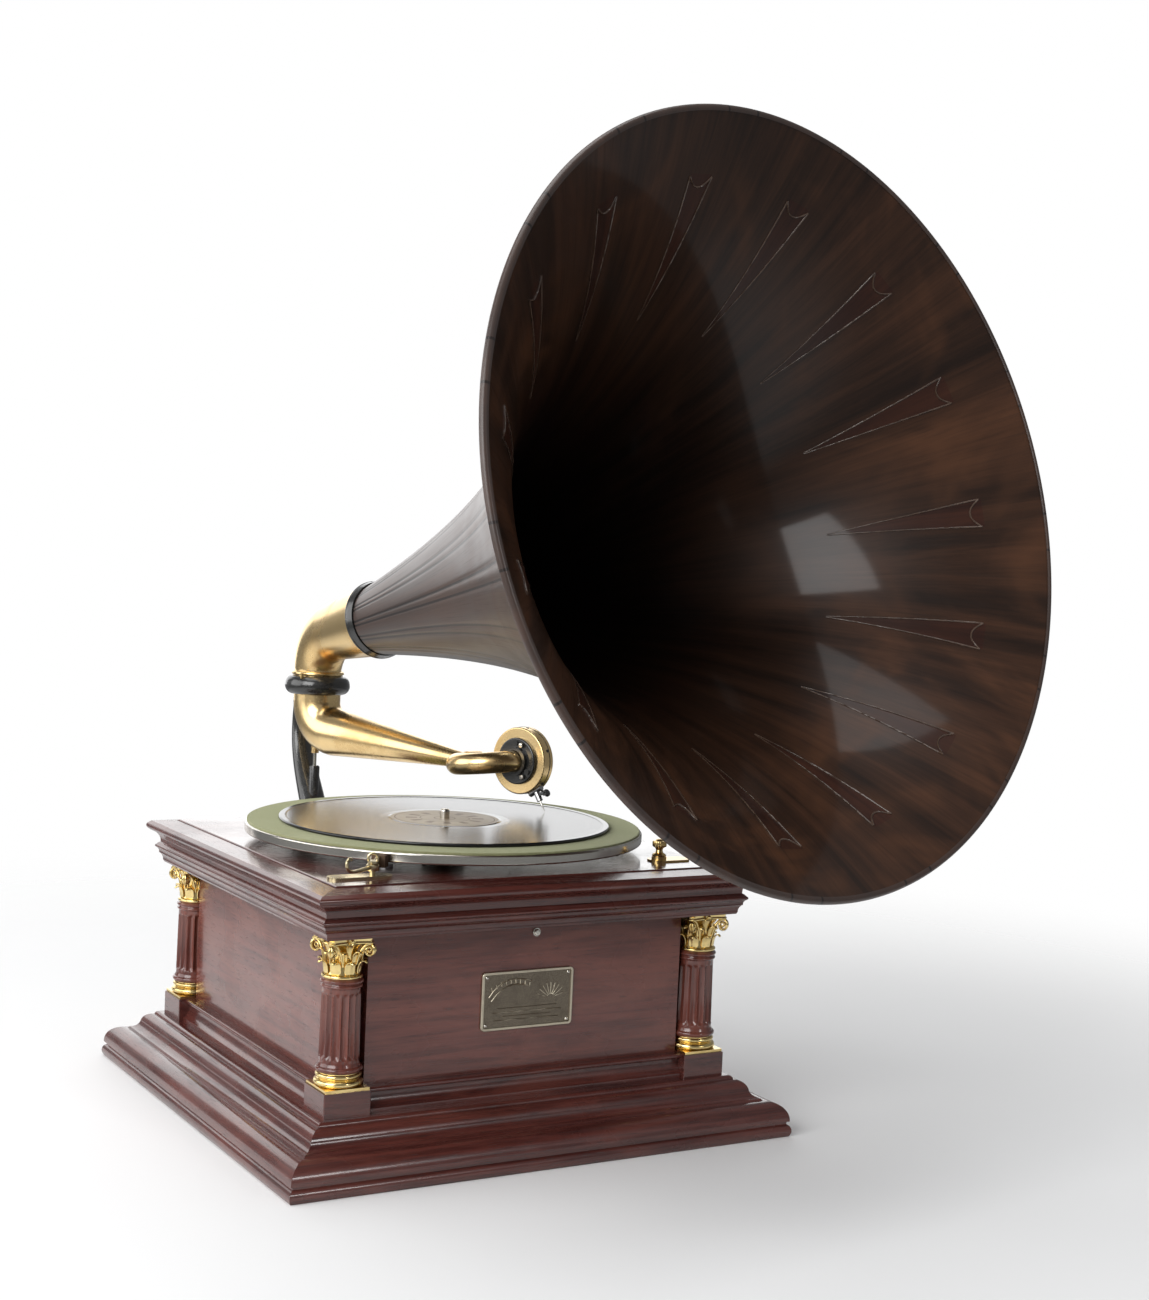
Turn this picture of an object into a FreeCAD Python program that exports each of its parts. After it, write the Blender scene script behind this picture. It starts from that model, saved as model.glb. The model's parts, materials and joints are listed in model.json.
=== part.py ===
import FreeCAD, Part
import math
import os

from FreeCAD import Vector

# Wind-up phonograph with an outside horn.  Millimetres.
# The origin is at the bottom centre of the cabinet: +Z up, the front faces -Y, the crank is on the +X side.

# ---------------------------------------------------------------- driving dimensions
BASE_HALF = 200.0            # half the width of the square plinth
MITRE_GAP = 0.05             # open joint between pieces that meet at a mitre or butt
WALL_FACE = 148.0            # outer face of the cabinet walls, from the centre
WALL = 12.0                  # wall thickness
BOTTOM_THICK = 10.0
PLINTH_TOP = 41.1            # height of the plinth moulding
PEDESTAL_TOP = 58.4
PEDESTAL_SIDE = 34.6
COLUMN_SPACING = 144.3       # column axis from the cabinet's centre planes
COLUMN_R = 13.9              # fluted shaft at its foot
COLUMN_TOP_R = 13.2
BASE_TOP = 70.0              # top of the gilt column base
CAPITAL_FOOT = 134.0
CORNICE_FOOT = 163.0
CORNICE_HALF = 176.7
BOARD_TOP = 198.0
BOARD_THICK = 10.0
BOARD_HALF = 157.0
BOARD_GAP = 0.15             # motor board in its rebate
FLUTES = 16
FLUTE_R = 2.0

SPINDLE_Y = -4.0
SPINDLE_R = 3.6
SPINDLE_TOP = 224.3
PLATTER_R = 152.4            # twelve-inch turntable
PLATTER_FOOT = 205.5
FELT_TOP = 214.4
FELT_THICK = 1.5
RECORD_R = 127.0             # ten-inch record
RECORD_THICK = 2.6
RECORD_LIFT = 0.05
RUN_GAP = 0.05               # radial clearance of a shaft in its bearing

SWIVEL_Y = 252.6             # vertical axis that the horn and the tone arm share
COLLAR_FOOT = 290.5
COLLAR_TOP = 306.5
COLLAR_R = 28.5
SOCKET_R = 20.5              # radius of both tubes that enter the collar
FOOT_LOW = 100.0             # bracket's foot on the back wall
FOOT_HIGH = 160.0
POST_TOP = 227.0             # post under the tone arm's lower pivot
PIVOT_R = 1.6
PIVOT_TOP = 246.0

HORN_AZIMUTH = 10.4          # horn direction at rest, from straight ahead toward the crank side
HORN_TILT = 13.0
HORN_START = 85.5            # ferrule from the swivel axis
HORN_START_Z = 360.0
HORN_LENGTH = 493.0
HORN_R = 272.0
HORN_THROAT_R = 29.8
HORN_CONE = 44.5             # part of the growth that is a plain cone
HORN_FLARE = 2.75            # how strongly the rest grows towards the bell
HORN_WALL = 4.0
HORN_SKIN = 1.2              # the wood's outside lies this far inside the nominal flare
BELL_FROM = 0.022            # the wooden part's ends, as shares of the flare
BELL_TO = 0.992
LIP_PROUD = 1.0              # lip beyond each face of the bell's wall
LIP_LONG = 3.4
LIP_FLATS = 6                # planed flats round the nose of the lip
ELBOW_BEND_R = 36.0
ELBOW_BEND_Z = 312.0
ELBOW_WALL = 1.6

ARM_AZIMUTH = 21.47
ARM_BEND_R = 26.0
ARM_SLOPE = 3.4              # the arm falls toward the sound box
ARM_ROOT_R = 23.4            # taper: radius = ARM_ROOT_R - ARM_TAPER * distance
ARM_TAPER = 0.099
ARM_WALL = 1.2
ARM_LINE_Z = 259.8           # height of the arm's line carried back to the swivel axis
FLIP_U = 183.0               # gooseneck hinge from the swivel axis
NECK_R = 8.6
NECK_BEND = 27.0
BOX_Z = 256.0
BOX_R = 27.0
BOX_THICK = 12.0
NEEDLE_GAP = 0.35            # needle point above the record
NEEDLE_LEAN = 33.0

MOTOR_TOP = 178.0
MOTOR_PLATE = 6.0
WIND_Y = 20.0
WIND_Z = 114.0
GEAR_MODULE = 2.0
WIND_TEETH = 32
ARBOR_TEETH = 50
GREAT_TEETH = 50
PINION_TEETH = 12
FACE_MODULE = 1.0
FACE_TEETH = 36
SPINDLE_TEETH = 12
PINION_LONG = 6.0
WHEEL_MODULE = 1.2
WHEEL_TEETH = 30
WORM_GAP = 0.5
GOVERNOR_Z = 150.0
TOOTH_FILL = 0.41            # tooth thickness as a share of the pitch
TOOTH_HEAD = 0.8             # tooth above the pitch circle, in modules
TOOTH_FOOT = 1.15
BARREL_R = 36.0
BARREL_FROM = -58.0
BARREL_TO = 48.0
SHAFT_R = 5.0
CRANK_SIDE_X = 216.0         # plane in which the crank arm swings
CRANK_THROW = 108.0
KNOB_LENGTH = 84.0

BRAKE_X = -118.0
BRAKE_Y = -130.0
PAD_GAP = 1.0                # brake pad off the platter when the brake is off
SPEED_X = 121.0
SPEED_Y = -123.0
LEVER_PIVOT = (46.0, 10.0)   # where the speed lever turns on the motor's top plate

Z_AXIS = Vector(0, 0, 1)
X_AXIS = Vector(1, 0, 0)
Y_AXIS = Vector(0, 1, 0)

wall_in = WALL_FACE - WALL
board_foot = BOARD_TOP - BOARD_THICK
plinth_shift = BASE_HALF - 200.0
cornice_shift = CORNICE_HALF - 176.7
pedestal_face = COLUMN_SPACING + PEDESTAL_SIDE / 2
pedestal_back = COLUMN_SPACING - PEDESTAL_SIDE / 2
notch = pedestal_back - MITRE_GAP
record_top = FELT_TOP + RECORD_LIFT + RECORD_THICK
wind_pitch = GEAR_MODULE * WIND_TEETH / 2
arbor_pitch = GEAR_MODULE * ARBOR_TEETH / 2
barrel_y = WIND_Y - wind_pitch - arbor_pitch
great_pitch = GEAR_MODULE * GREAT_TEETH / 2
pinion_pitch = GEAR_MODULE * PINION_TEETH / 2
layshaft_y = SPINDLE_Y
layshaft_z = WIND_Z - math.sqrt((great_pitch + pinion_pitch) ** 2 - (layshaft_y - barrel_y) ** 2)
face_pitch = FACE_MODULE * FACE_TEETH / 2
spindle_pitch = FACE_MODULE * SPINDLE_TEETH / 2
wheel_pitch = WHEEL_MODULE * WHEEL_TEETH / 2
worm_r = 4.4
governor_y = SPINDLE_Y + wheel_pitch + WHEEL_MODULE * TOOTH_HEAD + WORM_GAP + worm_r


# ---------------------------------------------------------------- helpers
def box(x0, x1, y0, y1, z0, z1):
    return Part.makeBox(x1 - x0, y1 - y0, z1 - z0, Vector(x0, y0, z0))


def rod(start, end, radius):
    along = end - start
    return Part.makeCylinder(radius, along.Length, start, along)


def rod_x(x0, x1, y, z, radius):
    return rod(Vector(x0, y, z), Vector(x1, y, z), radius)


def rod_y(y0, y1, x, z, radius):
    return rod(Vector(x, y0, z), Vector(x, y1, z), radius)


def rod_z(x, y, z0, z1, radius):
    return rod(Vector(x, y, z0), Vector(x, y, z1), radius)


def fuse(shapes):
    whole = shapes[0].fuse(shapes[1:]) if len(shapes) > 1 else shapes[0]
    return whole.removeSplitter()


def moved(shape, x=0.0, y=0.0, z=0.0):
    copy = shape.copy()
    copy.translate(Vector(x, y, z))
    return copy


def turned(shape, centre, axis, angle):
    copy = shape.copy()
    copy.rotate(centre, axis, angle)
    return copy


def outline(start, steps):
    """Closed wire in the XZ plane.  A step of 2 numbers is a line, one of 4 is an arc through a point."""
    edges = []
    here = Vector(start[0], 0, start[1])
    first = here
    for step in steps:
        there = Vector(step[-2], 0, step[-1])
        if len(step) == 4:
            middle = Vector(step[0], 0, step[1])
            edges.append(Part.Arc(here, middle, there).toShape())
        else:
            edges.append(Part.makeLine(here, there))
        here = there
    if here.sub(first).Length > 1e-6:
        edges.append(Part.makeLine(here, first))
    return Part.Wire(edges)


def spun(wire, centre=Vector(0, 0, 0)):
    """Solid of revolution about the vertical axis through the centre."""
    solid = Part.Face(wire).revolve(Vector(0, 0, 0), Z_AXIS, 360)
    solid.translate(centre)
    return solid


def four_corners(shape):
    """The shape at the front right corner and its three copies round the cabinet."""
    return [turned(shape, Vector(0, 0, 0), Z_AXIS, 90 * i) for i in range(4)]


def mitred_strips(wire, half):
    """Four lengths of moulding round a square.  The profile's X is the distance from the centre."""
    reach = half + 20
    strip = Part.Face(wire).extrude(Vector(0, 2 * reach, 0))
    strip.translate(Vector(0, -reach, 0))
    gap = MITRE_GAP
    corners = [Vector(gap, 0, -5), Vector(reach * 1.5, reach * 1.5 - gap, -5),
               Vector(reach * 1.5, -reach * 1.5 + gap, -5)]
    wedge = Part.Face(Part.makePolygon(corners + corners[:1])).extrude(Vector(0, 0, 260))
    return four_corners(strip.common(wedge))


def straight_strips(wire, half_length):
    """Four straight lengths of moulding, one on each side."""
    strip = Part.Face(wire).extrude(Vector(0, 2 * half_length, 0))
    strip.translate(Vector(0, -half_length, 0))
    return four_corners(strip)


def circle(centre, axis, radius):
    return Part.Wire([Part.makeCircle(radius, centre, axis)])


def tube_loft(stations):
    """Solid through circles given as (centre, direction, radius)."""
    return Part.makeLoft([circle(c, d, r) for c, d, r in stations], True, False)


def cone(start, end, start_r, end_r):
    along = end - start
    return Part.makeCone(start_r, end_r, along.Length, start, along)


def bend(section_centre, section_axis, radius, pivot, turn):
    """Round bar of constant radius turned about a horizontal line through the pivot, along +Y or -Y."""
    face = Part.Face(circle(section_centre, section_axis, radius))
    return face.revolve(pivot, Y_AXIS, turn)


def gear(teeth, module, width, bore, phase=0.0):
    """Spur gear on the X axis from x = 0.  A tooth points at the phase angle, from +Y toward +Z."""
    pitch_r = module * teeth / 2
    root_r = pitch_r - TOOTH_FOOT * module
    tip_r = pitch_r + TOOTH_HEAD * module
    step = 2 * math.pi / teeth
    root_half = step * TOOTH_FILL * 0.66
    tip_half = step * TOOTH_FILL * 0.30
    points = []
    for i in range(teeth):
        middle = math.radians(phase) + i * step
        for radius, offset in ((root_r, -root_half), (tip_r, -tip_half), (tip_r, tip_half),
                               (root_r, root_half)):
            points.append(Vector(0, radius * math.cos(middle + offset), radius * math.sin(middle + offset)))
    blank = Part.Face(Part.makePolygon(points + points[:1])).extrude(Vector(width, 0, 0))
    return blank.cut(Part.makeCylinder(bore, width + 2, Vector(-1, 0, 0), X_AXIS))


def save(name, shapes):
    solids = shapes if isinstance(shapes, list) else [shapes]
    Part.makeCompound(solids).exportStep("parts/" + name + ".step")


# ---------------------------------------------------------------- cabinet
def make_bottom_board():
    half = 176 + plinth_shift - MITRE_GAP
    return box(-half, half, -half, half, 0, BOTTOM_THICK)


def make_base_moulding():
    s = plinth_shift
    top = PLINTH_TOP
    wire = outline((176 + s, 0), [
        (198.5 + s, 0), (200 + s, 4, 198.6 + s, 8), (197 + s, 9.2), (197 + s, 10.8), (198.8 + s, 11.3),
        (196.6 + s, 19.2, 184 + s, 24.6), (182.8 + s, 26), (177.6 + s, 28.8, 176 + s, 32.4),
        (174.2 + s, 35.6, 169.4 + s, top - 2.8), (167.6 + s, top - 2.6),
        (166.6 + s, top - 0.7, 164.6 + s, top),
        (126, top), (126, 28), (176 + s, 28)])
    return mitred_strips(wire, BASE_HALF)


def make_inner_base_moulding():
    foot = PLINTH_TOP
    top = PEDESTAL_TOP
    back = WALL_FACE + MITRE_GAP
    wire = outline((back, foot), [
        (WALL_FACE + 10, foot), (WALL_FACE + 10, foot + 3.2),
        (WALL_FACE + 5.8, foot + 7, WALL_FACE + 4.6, foot + 13),
        (WALL_FACE + 7, foot + 13.9), (WALL_FACE + 8.6, top - 1.7, WALL_FACE + 7, top), (back, top)])
    return straight_strips(wire, pedestal_back - MITRE_GAP)


def make_front_panel():
    return box(-notch, notch, -WALL_FACE, -wall_in, PLINTH_TOP, board_foot)


def make_back_panel():
    return box(-notch, notch, wall_in, WALL_FACE, PLINTH_TOP, board_foot)


def make_left_panel():
    return box(-WALL_FACE, -wall_in, -notch, notch, PLINTH_TOP, board_foot)


def make_right_panel():
    panel = box(wall_in, WALL_FACE, -notch, notch, PLINTH_TOP, board_foot)
    return panel.cut(rod_x(wall_in - 1, WALL_FACE + 1, WIND_Y, WIND_Z, 9.0))


def make_corner_posts():
    inner = notch - 3
    outer = wall_in - MITRE_GAP
    post = box(inner, outer, inner, outer, PLINTH_TOP, board_foot)
    post = post.cut(box(notch, WALL_FACE, notch, WALL_FACE, 0, CORNICE_FOOT))
    low = notch + MITRE_GAP
    high = WALL_FACE - MITRE_GAP
    return four_corners(fuse([post, box(low, high, low, high, CORNICE_FOOT, board_foot)]))


def make_column_pedestals():
    low = pedestal_back
    high = pedestal_face
    block = box(low, high, low, high, PLINTH_TOP, PEDESTAL_TOP)
    upright = [e for e in block.Edges if abs(e.tangentAt(e.FirstParameter).z) > 0.9]
    return four_corners(block.makeFillet(0.8, upright))


def make_column_bases():
    half = PEDESTAL_SIDE / 2 - 1.0
    foot = PEDESTAL_TOP + 2.0
    plate = box(-half, half, -half, half, PEDESTAL_TOP, foot)
    high = BASE_TOP - foot
    turning = spun(outline((0, foot), [
        (14.6, foot), (17.0, foot + high * 0.25, 14.9, foot + high * 0.5), (14.0, foot + high * 0.6),
        (15.9, foot + high * 0.76, 14.2, foot + high * 0.92), (14.2, BASE_TOP), (0, BASE_TOP)]))
    return four_corners(moved(fuse([plate, turning]), COLUMN_SPACING, COLUMN_SPACING))


def make_column_shafts():
    foot = BASE_TOP
    low = foot + 7.0
    high = CAPITAL_FOOT - 5.0
    turning = spun(outline((0, foot), [
        (14.6, foot), (15.2, foot + 1.6, 14.6, foot + 3.2), (13.7, foot + 4.4), (COLUMN_R, low),
        (COLUMN_TOP_R, high),
        (COLUMN_TOP_R, high + 1.0), (COLUMN_TOP_R + 1.0, high + 2.9, COLUMN_TOP_R, CAPITAL_FOOT - 0.4),
        (COLUMN_TOP_R, CAPITAL_FOOT), (0, CAPITAL_FOOT)]))
    start = Vector(COLUMN_R + 0.9, 0, low + 3.5)
    end = Vector(COLUMN_TOP_R + 0.9, 0, high - 3.0)
    flute = rod(start, end, FLUTE_R)
    flute = flute.fuse([Part.makeSphere(FLUTE_R, start), Part.makeSphere(FLUTE_R, end)])
    flutes = [turned(flute, Vector(0, 0, 0), Z_AXIS, 360.0 * i / FLUTES) for i in range(FLUTES)]
    return four_corners(moved(turning.cut(flutes), COLUMN_SPACING, COLUMN_SPACING))


def leaf(inside, outside, low, high):
    """Upright leaf whose tip curls outward, against the bell of a capital."""
    wire = outline((inside, low), [
        (outside - 2.6, low), (outside - 2.2, high - 3.0, outside, high - 1.6), (outside - 0.6, high),
        (inside, high)])
    return Part.Face(wire).extrude(Vector(0, 4.6, 0)).translated(Vector(0, -2.3, 0))


def make_column_capitals():
    foot = CAPITAL_FOOT
    top = CORNICE_FOOT
    bell = spun(outline((0, foot), [
        (13.6, foot), (15.2, foot + 1.2, 13.6, foot + 2.4), (12.6, foot + 3.2),
        (13.6, foot + 14, 16.6, top - 4.5),
        (0, top - 4.5)]))
    half = PEDESTAL_SIDE / 2 - 0.3
    slab = box(-half, half, -half, half, top - 4.5, top - MITRE_GAP)
    bite_r = 60.0
    for i in range(4):
        bite = Part.makeCylinder(bite_r, 10, Vector(half - 2.0 + bite_r, 0, top - 6), Z_AXIS)
        slab = slab.cut(turned(bite, Vector(0, 0, 0), Z_AXIS, 90 * i))
    pieces = [bell, slab]
    for i in range(4):
        scroll = Part.makeCylinder(4.2, 4.6, Vector(17.0, -2.3, top - 8.4), Y_AXIS)
        pieces.append(turned(scroll, Vector(0, 0, 0), Z_AXIS, 45 + 90 * i))
    for i in range(8):
        pieces.append(turned(leaf(11.0, 15.8, foot + 2.9, foot + 13.6), Vector(0, 0, 0), Z_AXIS, 45 * i))
        pieces.append(turned(leaf(11.0, 16.6, foot + 6.0, foot + 19.6), Vector(0, 0, 0), Z_AXIS,
                             22.5 + 45 * i))
    return four_corners(moved(fuse(pieces), COLUMN_SPACING, COLUMN_SPACING))


def make_cornice_moulding():
    s = cornice_shift
    foot = CORNICE_FOOT
    inner = WALL_FACE + MITRE_GAP
    wire = outline((inner, foot), [
        (164.8 + s, foot), (165.6 + s, foot + 1.6), (166.2 + s, foot + 4.8, 168.2 + s, foot + 7.2),
        (168.6 + s, foot + 9.6, 170.1 + s, foot + 11.2), (170.9 + s, foot + 12.4, 170.1 + s, foot + 13.6),
        (168.8 + s, foot + 15.0), (167.4 + s, foot + 15.8), (167.6 + s, foot + 18.4),
        (169.7 + s, foot + 22.3, 174 + s, foot + 24.8), (175.8 + s, foot + 26.2),
        (176.7 + s, foot + 28.3, 175.8 + s, foot + 30.4), (173.4 + s, foot + 32.2),
        (BOARD_HALF + 0.8, BOARD_TOP - 1.0), (BOARD_HALF + BOARD_GAP, BOARD_TOP - 1.2),
        (BOARD_HALF + BOARD_GAP, board_foot), (inner, board_foot)])
    return mitred_strips(wire, CORNICE_HALF)


def make_motor_board():
    board = box(-BOARD_HALF, BOARD_HALF, -BOARD_HALF, BOARD_HALF, board_foot, BOARD_TOP)
    rim = [e for e in board.Edges if e.BoundBox.ZMin > BOARD_TOP - 0.01]
    board = board.makeFillet(1.2, rim)
    holes = [rod_z(0, SPINDLE_Y, board_foot - 1, BOARD_TOP + 1, 9.0)]
    holes.append(rod_z(SPEED_X, SPEED_Y, board_foot - 1, BOARD_TOP + 1, 2.6))
    for x, y in motor_bolt_places():
        holes.append(rod_z(x, y, board_foot - 1, BOARD_TOP + 1, 2.6))
    return board.cut(holes)


def make_name_plate():
    half_w = 37.0
    half_h = 21.0
    centre_x = -2.0
    centre_z = 108.5
    face = WALL_FACE + MITRE_GAP
    plate = box(centre_x - half_w, centre_x + half_w, -face - 1.4, -face, centre_z - half_h,
                centre_z + half_h)
    corners = [e for e in plate.Edges if abs(e.tangentAt(e.FirstParameter).y) > 0.9]
    plate = plate.makeFillet(4.0, corners)
    inset = 1.7
    dish = box(centre_x - half_w + inset, centre_x + half_w - inset, -face - 2, -face - 0.9,
               centre_z - half_h + inset, centre_z + half_h - inset)
    corners = [e for e in dish.Edges if abs(e.tangentAt(e.FirstParameter).y) > 0.9]
    return plate.cut(dish.makeFillet(2.0, corners))


def make_name_plate_pins():
    pins = []
    for x in (-35.0, 31.0):
        for z in (91.4, 125.6):
            foot = -WALL_FACE - MITRE_GAP - 0.9
            head = Part.makeSphere(1.5, Vector(x, foot + 0.5, z))
            pins.append(head.common(box(x - 2, x + 2, foot - 2, foot, z - 2, z + 2)))
    return pins


def make_front_button():
    foot = -WALL_FACE
    shank = rod_y(foot, foot - 1.0, 3.5, 156, 3.0)
    head = rod_y(foot - 1.0, foot - 2.6, 3.5, 156, 2.3)
    rim = [e for e in head.Edges if e.BoundBox.YMax < foot - 2.5]
    return fuse([shank, head.makeFillet(0.9, rim)])


def make_crank_escutcheon():
    face = WALL_FACE + MITRE_GAP
    disc = rod_x(face, face + 2.5, WIND_Y, WIND_Z, 17.0)
    rim = [e for e in disc.Edges if e.BoundBox.XMin > face + 2.4]
    disc = disc.makeFillet(1.2, rim)
    boss = rod_x(face - 8, face + 6, WIND_Y, WIND_Z, 8.9)
    bore = rod_x(face - 9, face + 7, WIND_Y, WIND_Z, SHAFT_R + RUN_GAP)
    return fuse([disc, boss]).cut(bore)


# ---------------------------------------------------------------- motor frame
def motor_bolt_places():
    return [(-90, -92), (78, -92), (-90, 22), (78, 22)]


def make_motor_top_plate():
    foot = MOTOR_TOP - MOTOR_PLATE
    plate = box(-100, 100, -102, 32, foot, MOTOR_TOP)
    corners = [e for e in plate.Edges if abs(e.tangentAt(e.FirstParameter).z) > 0.9]
    plate = plate.makeFillet(10.0, corners)
    holes = [rod_z(0, SPINDLE_Y, foot - 1, MOTOR_TOP + 1, SPINDLE_R + 0.4)]
    for x, y in motor_bolt_places():
        holes.append(rod_z(x, y, foot - 1, MOTOR_TOP + 1, 2.6))
    pivot = rod_z(LEVER_PIVOT[0], LEVER_PIVOT[1], foot, MOTOR_TOP + 5.5, 2.5)
    return plate.cut(holes).fuse(pivot)


def side_plate(x0, x1, bores):
    plate = box(x0, x1, -96, 26, 55, MOTOR_TOP - MOTOR_PLATE)
    cuts = [rod_x(x0 - 1, x1 + 1, y, z, r) for y, z, r in bores]
    return plate.cut(cuts)


def make_motor_frame_plates():
    arbor = (barrel_y, WIND_Z, SHAFT_R + RUN_GAP)
    layshaft = (layshaft_y, layshaft_z, 4.0 + RUN_GAP)
    governor = (governor_y, GOVERNOR_Z, 2.0 + RUN_GAP)
    crank = (WIND_Y, WIND_Z, SHAFT_R + RUN_GAP)
    left = side_plate(-78, -72, [arbor, layshaft, governor])
    right = side_plate(56, 62, [arbor, governor, crank])
    roof = MOTOR_TOP - MOTOR_PLATE
    hanger = box(-32, -27, layshaft_y - 8, layshaft_y + 8, layshaft_z - 8, roof)
    hanger = hanger.cut(rod_x(-33, -26, layshaft_y, layshaft_z, 4.0 + RUN_GAP))
    footstep = box(-5, 56, SPINDLE_Y - 6, SPINDLE_Y + 6, 84, 90)
    footstep = footstep.cut(rod_z(0, SPINDLE_Y, 87, 91, SPINDLE_R + RUN_GAP))
    return [left, fuse([right, footstep]), hanger]


def make_motor_bolts():
    bolts = []
    for x, y in motor_bolt_places():
        shank = rod_z(x, y, MOTOR_TOP - MOTOR_PLATE - 6, BOARD_TOP + 1, 2.5)
        head = rod_z(x, y, BOARD_TOP, BOARD_TOP + 2.2, 5.0)
        spacer = rod_z(x, y, MOTOR_TOP, board_foot, 6.0)
        nut = rod_z(x, y, MOTOR_TOP - MOTOR_PLATE - 4, MOTOR_TOP - MOTOR_PLATE, 5.0)
        bolts.append(fuse([shank, head, spacer, nut]))
    return bolts


def make_spindle_bearing():
    tube = rod_z(0, SPINDLE_Y, MOTOR_TOP, BOARD_TOP + 1.5, 8.8)
    return tube.cut(rod_z(0, SPINDLE_Y, MOTOR_TOP - 1, BOARD_TOP + 3, SPINDLE_R + RUN_GAP))


def make_clutch_spring():
    """Coil clutch on the winding shaft, which keeps the crank from running back."""
    coil_r = SHAFT_R + 2.2
    wire_r = 1.0
    helix = Part.makeHelix(2.3, 16.1, coil_r)
    section = circle(Vector(coil_r, 0, 0), Y_AXIS, wire_r)
    coil = Part.Wire(helix).makePipeShell([section], True, True)
    coil.rotate(Vector(0, 0, 0), Y_AXIS, 90)
    coil.translate(Vector(90, WIND_Y, WIND_Z))
    return coil


# ---------------------------------------------------------------- turntable
def make_turntable_platter():
    top = FELT_TOP - FELT_THICK
    foot = PLATTER_FOOT
    bore = SPINDLE_R + 0.02
    wire = outline((bore, top), [
        (PLATTER_R - 1.5, top), (PLATTER_R - 0.4, top - 0.4, PLATTER_R, top - 1.5), (PLATTER_R, foot + 1.2),
        (PLATTER_R - 0.4, foot + 0.3, PLATTER_R - 1.3, foot), (PLATTER_R - 4.0, foot),
        (PLATTER_R - 4.5, top - 3.0),
        (18, top - 3.0), (15, foot - 4.0), (bore, foot - 4.0)])
    return spun(wire, Vector(0, SPINDLE_Y, 0))


def make_turntable_felt():
    foot = FELT_TOP - FELT_THICK
    edge = PLATTER_R - 1.6
    wire = outline((SPINDLE_R + 0.4, foot), [
        (edge, foot), (edge, FELT_TOP - 0.7), (edge - 0.2, FELT_TOP - 0.2, edge - 0.7, FELT_TOP),
        (SPINDLE_R + 0.4, FELT_TOP)])
    return spun(wire, Vector(0, SPINDLE_Y, 0))


def make_record_disc():
    foot = FELT_TOP + RECORD_LIFT
    bore = SPINDLE_R + 0.1
    wire = outline((bore, foot), [
        (RECORD_R - 1.0, foot), (RECORD_R, foot + RECORD_THICK / 2, RECORD_R - 1.0, record_top),
        (RECORD_R - 5, record_top), (RECORD_R - 6, record_top - 0.35), (44, record_top - 0.35),
        (42, record_top), (bore, record_top)])
    return spun(wire, Vector(0, SPINDLE_Y, 0))


def make_turntable_spindle():
    wire = outline((0, 88), [
        (SPINDLE_R, 88), (SPINDLE_R, SPINDLE_TOP - 2.0),
        (SPINDLE_R - 0.5, SPINDLE_TOP - 0.6, SPINDLE_R - 1.8, SPINDLE_TOP),
        (0, SPINDLE_TOP)])
    staff = spun(wire, Vector(0, SPINDLE_Y, 0))
    wheel = turned(gear(WHEEL_TEETH, WHEEL_MODULE, 8.0, SPINDLE_R + 0.02), Vector(0, 0, 0), Y_AXIS, -90)
    wheel.translate(Vector(0, SPINDLE_Y, GOVERNOR_Z - 4))
    pinion = turned(gear(SPINDLE_TEETH, FACE_MODULE, PINION_LONG, SPINDLE_R + 0.02, 90 + 180 / SPINDLE_TEETH),
                    Vector(0, 0, 0), Y_AXIS, -90)
    pinion.translate(Vector(0, SPINDLE_Y, layshaft_z + face_pitch - PINION_LONG / 2))
    return [staff, wheel, pinion]


# ---------------------------------------------------------------- spring barrel and gear train
def make_spring_barrel():
    drum = rod_x(BARREL_FROM, BARREL_TO, barrel_y, WIND_Z, BARREL_R)
    hollow = rod_x(BARREL_FROM + 3, BARREL_TO - 3, barrel_y, WIND_Z, BARREL_R - 2)
    bore = rod_x(BARREL_FROM - 1, BARREL_TO + 1, barrel_y, WIND_Z, SHAFT_R + RUN_GAP)
    return drum.cut([hollow, bore])


def make_mainsprings():
    """Three flat coils side by side, wound against the wall of the drum."""
    turns = 6
    thick = 0.7
    pitch = 2.2
    steps = turns * 12
    outer = BARREL_R - 3.0
    outside = []
    inside = []
    for i in range(steps + 1):
        angle = 2 * math.pi * i / 12
        radius = outer - pitch * i / 12
        outside.append(Vector(0, radius * math.cos(angle), radius * math.sin(angle)))
        inside.append(Vector(0, (radius - thick) * math.cos(angle), (radius - thick) * math.sin(angle)))
    curve_out = Part.BSplineCurve()
    curve_out.interpolate(outside)
    curve_in = Part.BSplineCurve()
    curve_in.interpolate(inside)
    edges = [curve_out.toShape(), Part.makeLine(outside[-1], inside[-1]), curve_in.toShape(),
             Part.makeLine(inside[0], outside[0])]
    leaf = Part.Face(Part.Wire(Part.__sortEdges__(edges))).extrude(Vector(28, 0, 0))
    return [moved(leaf, BARREL_FROM + 6 + 32 * i, barrel_y, WIND_Z) for i in range(3)]


def make_great_gear():
    wheel = gear(GREAT_TEETH, GEAR_MODULE, 6.0, SHAFT_R + RUN_GAP, great_phase())
    return moved(wheel, BARREL_FROM - 6, barrel_y, WIND_Z)


def great_phase():
    """Angle from the barrel to the layshaft, where a tooth of the great gear stands."""
    return math.degrees(math.atan2(layshaft_z - WIND_Z, layshaft_y - barrel_y))


def make_barrel_arbor():
    shaft = rod_x(-80, 74, barrel_y, WIND_Z, SHAFT_R)
    wheel = moved(gear(ARBOR_TEETH, GEAR_MODULE, 8.0, SHAFT_R - 0.5), 66, barrel_y, WIND_Z)
    return fuse([shaft, wheel])


def make_intermediate_arbor():
    shaft = rod_x(-80, -10, layshaft_y, layshaft_z, 4.0)
    phase = great_phase() + 180 + 180 / PINION_TEETH
    pinion = gear(PINION_TEETH, GEAR_MODULE, 9.0, 3.5, phase)
    return fuse([shaft, moved(pinion, BARREL_FROM - 7.5, layshaft_y, layshaft_z)])


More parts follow.
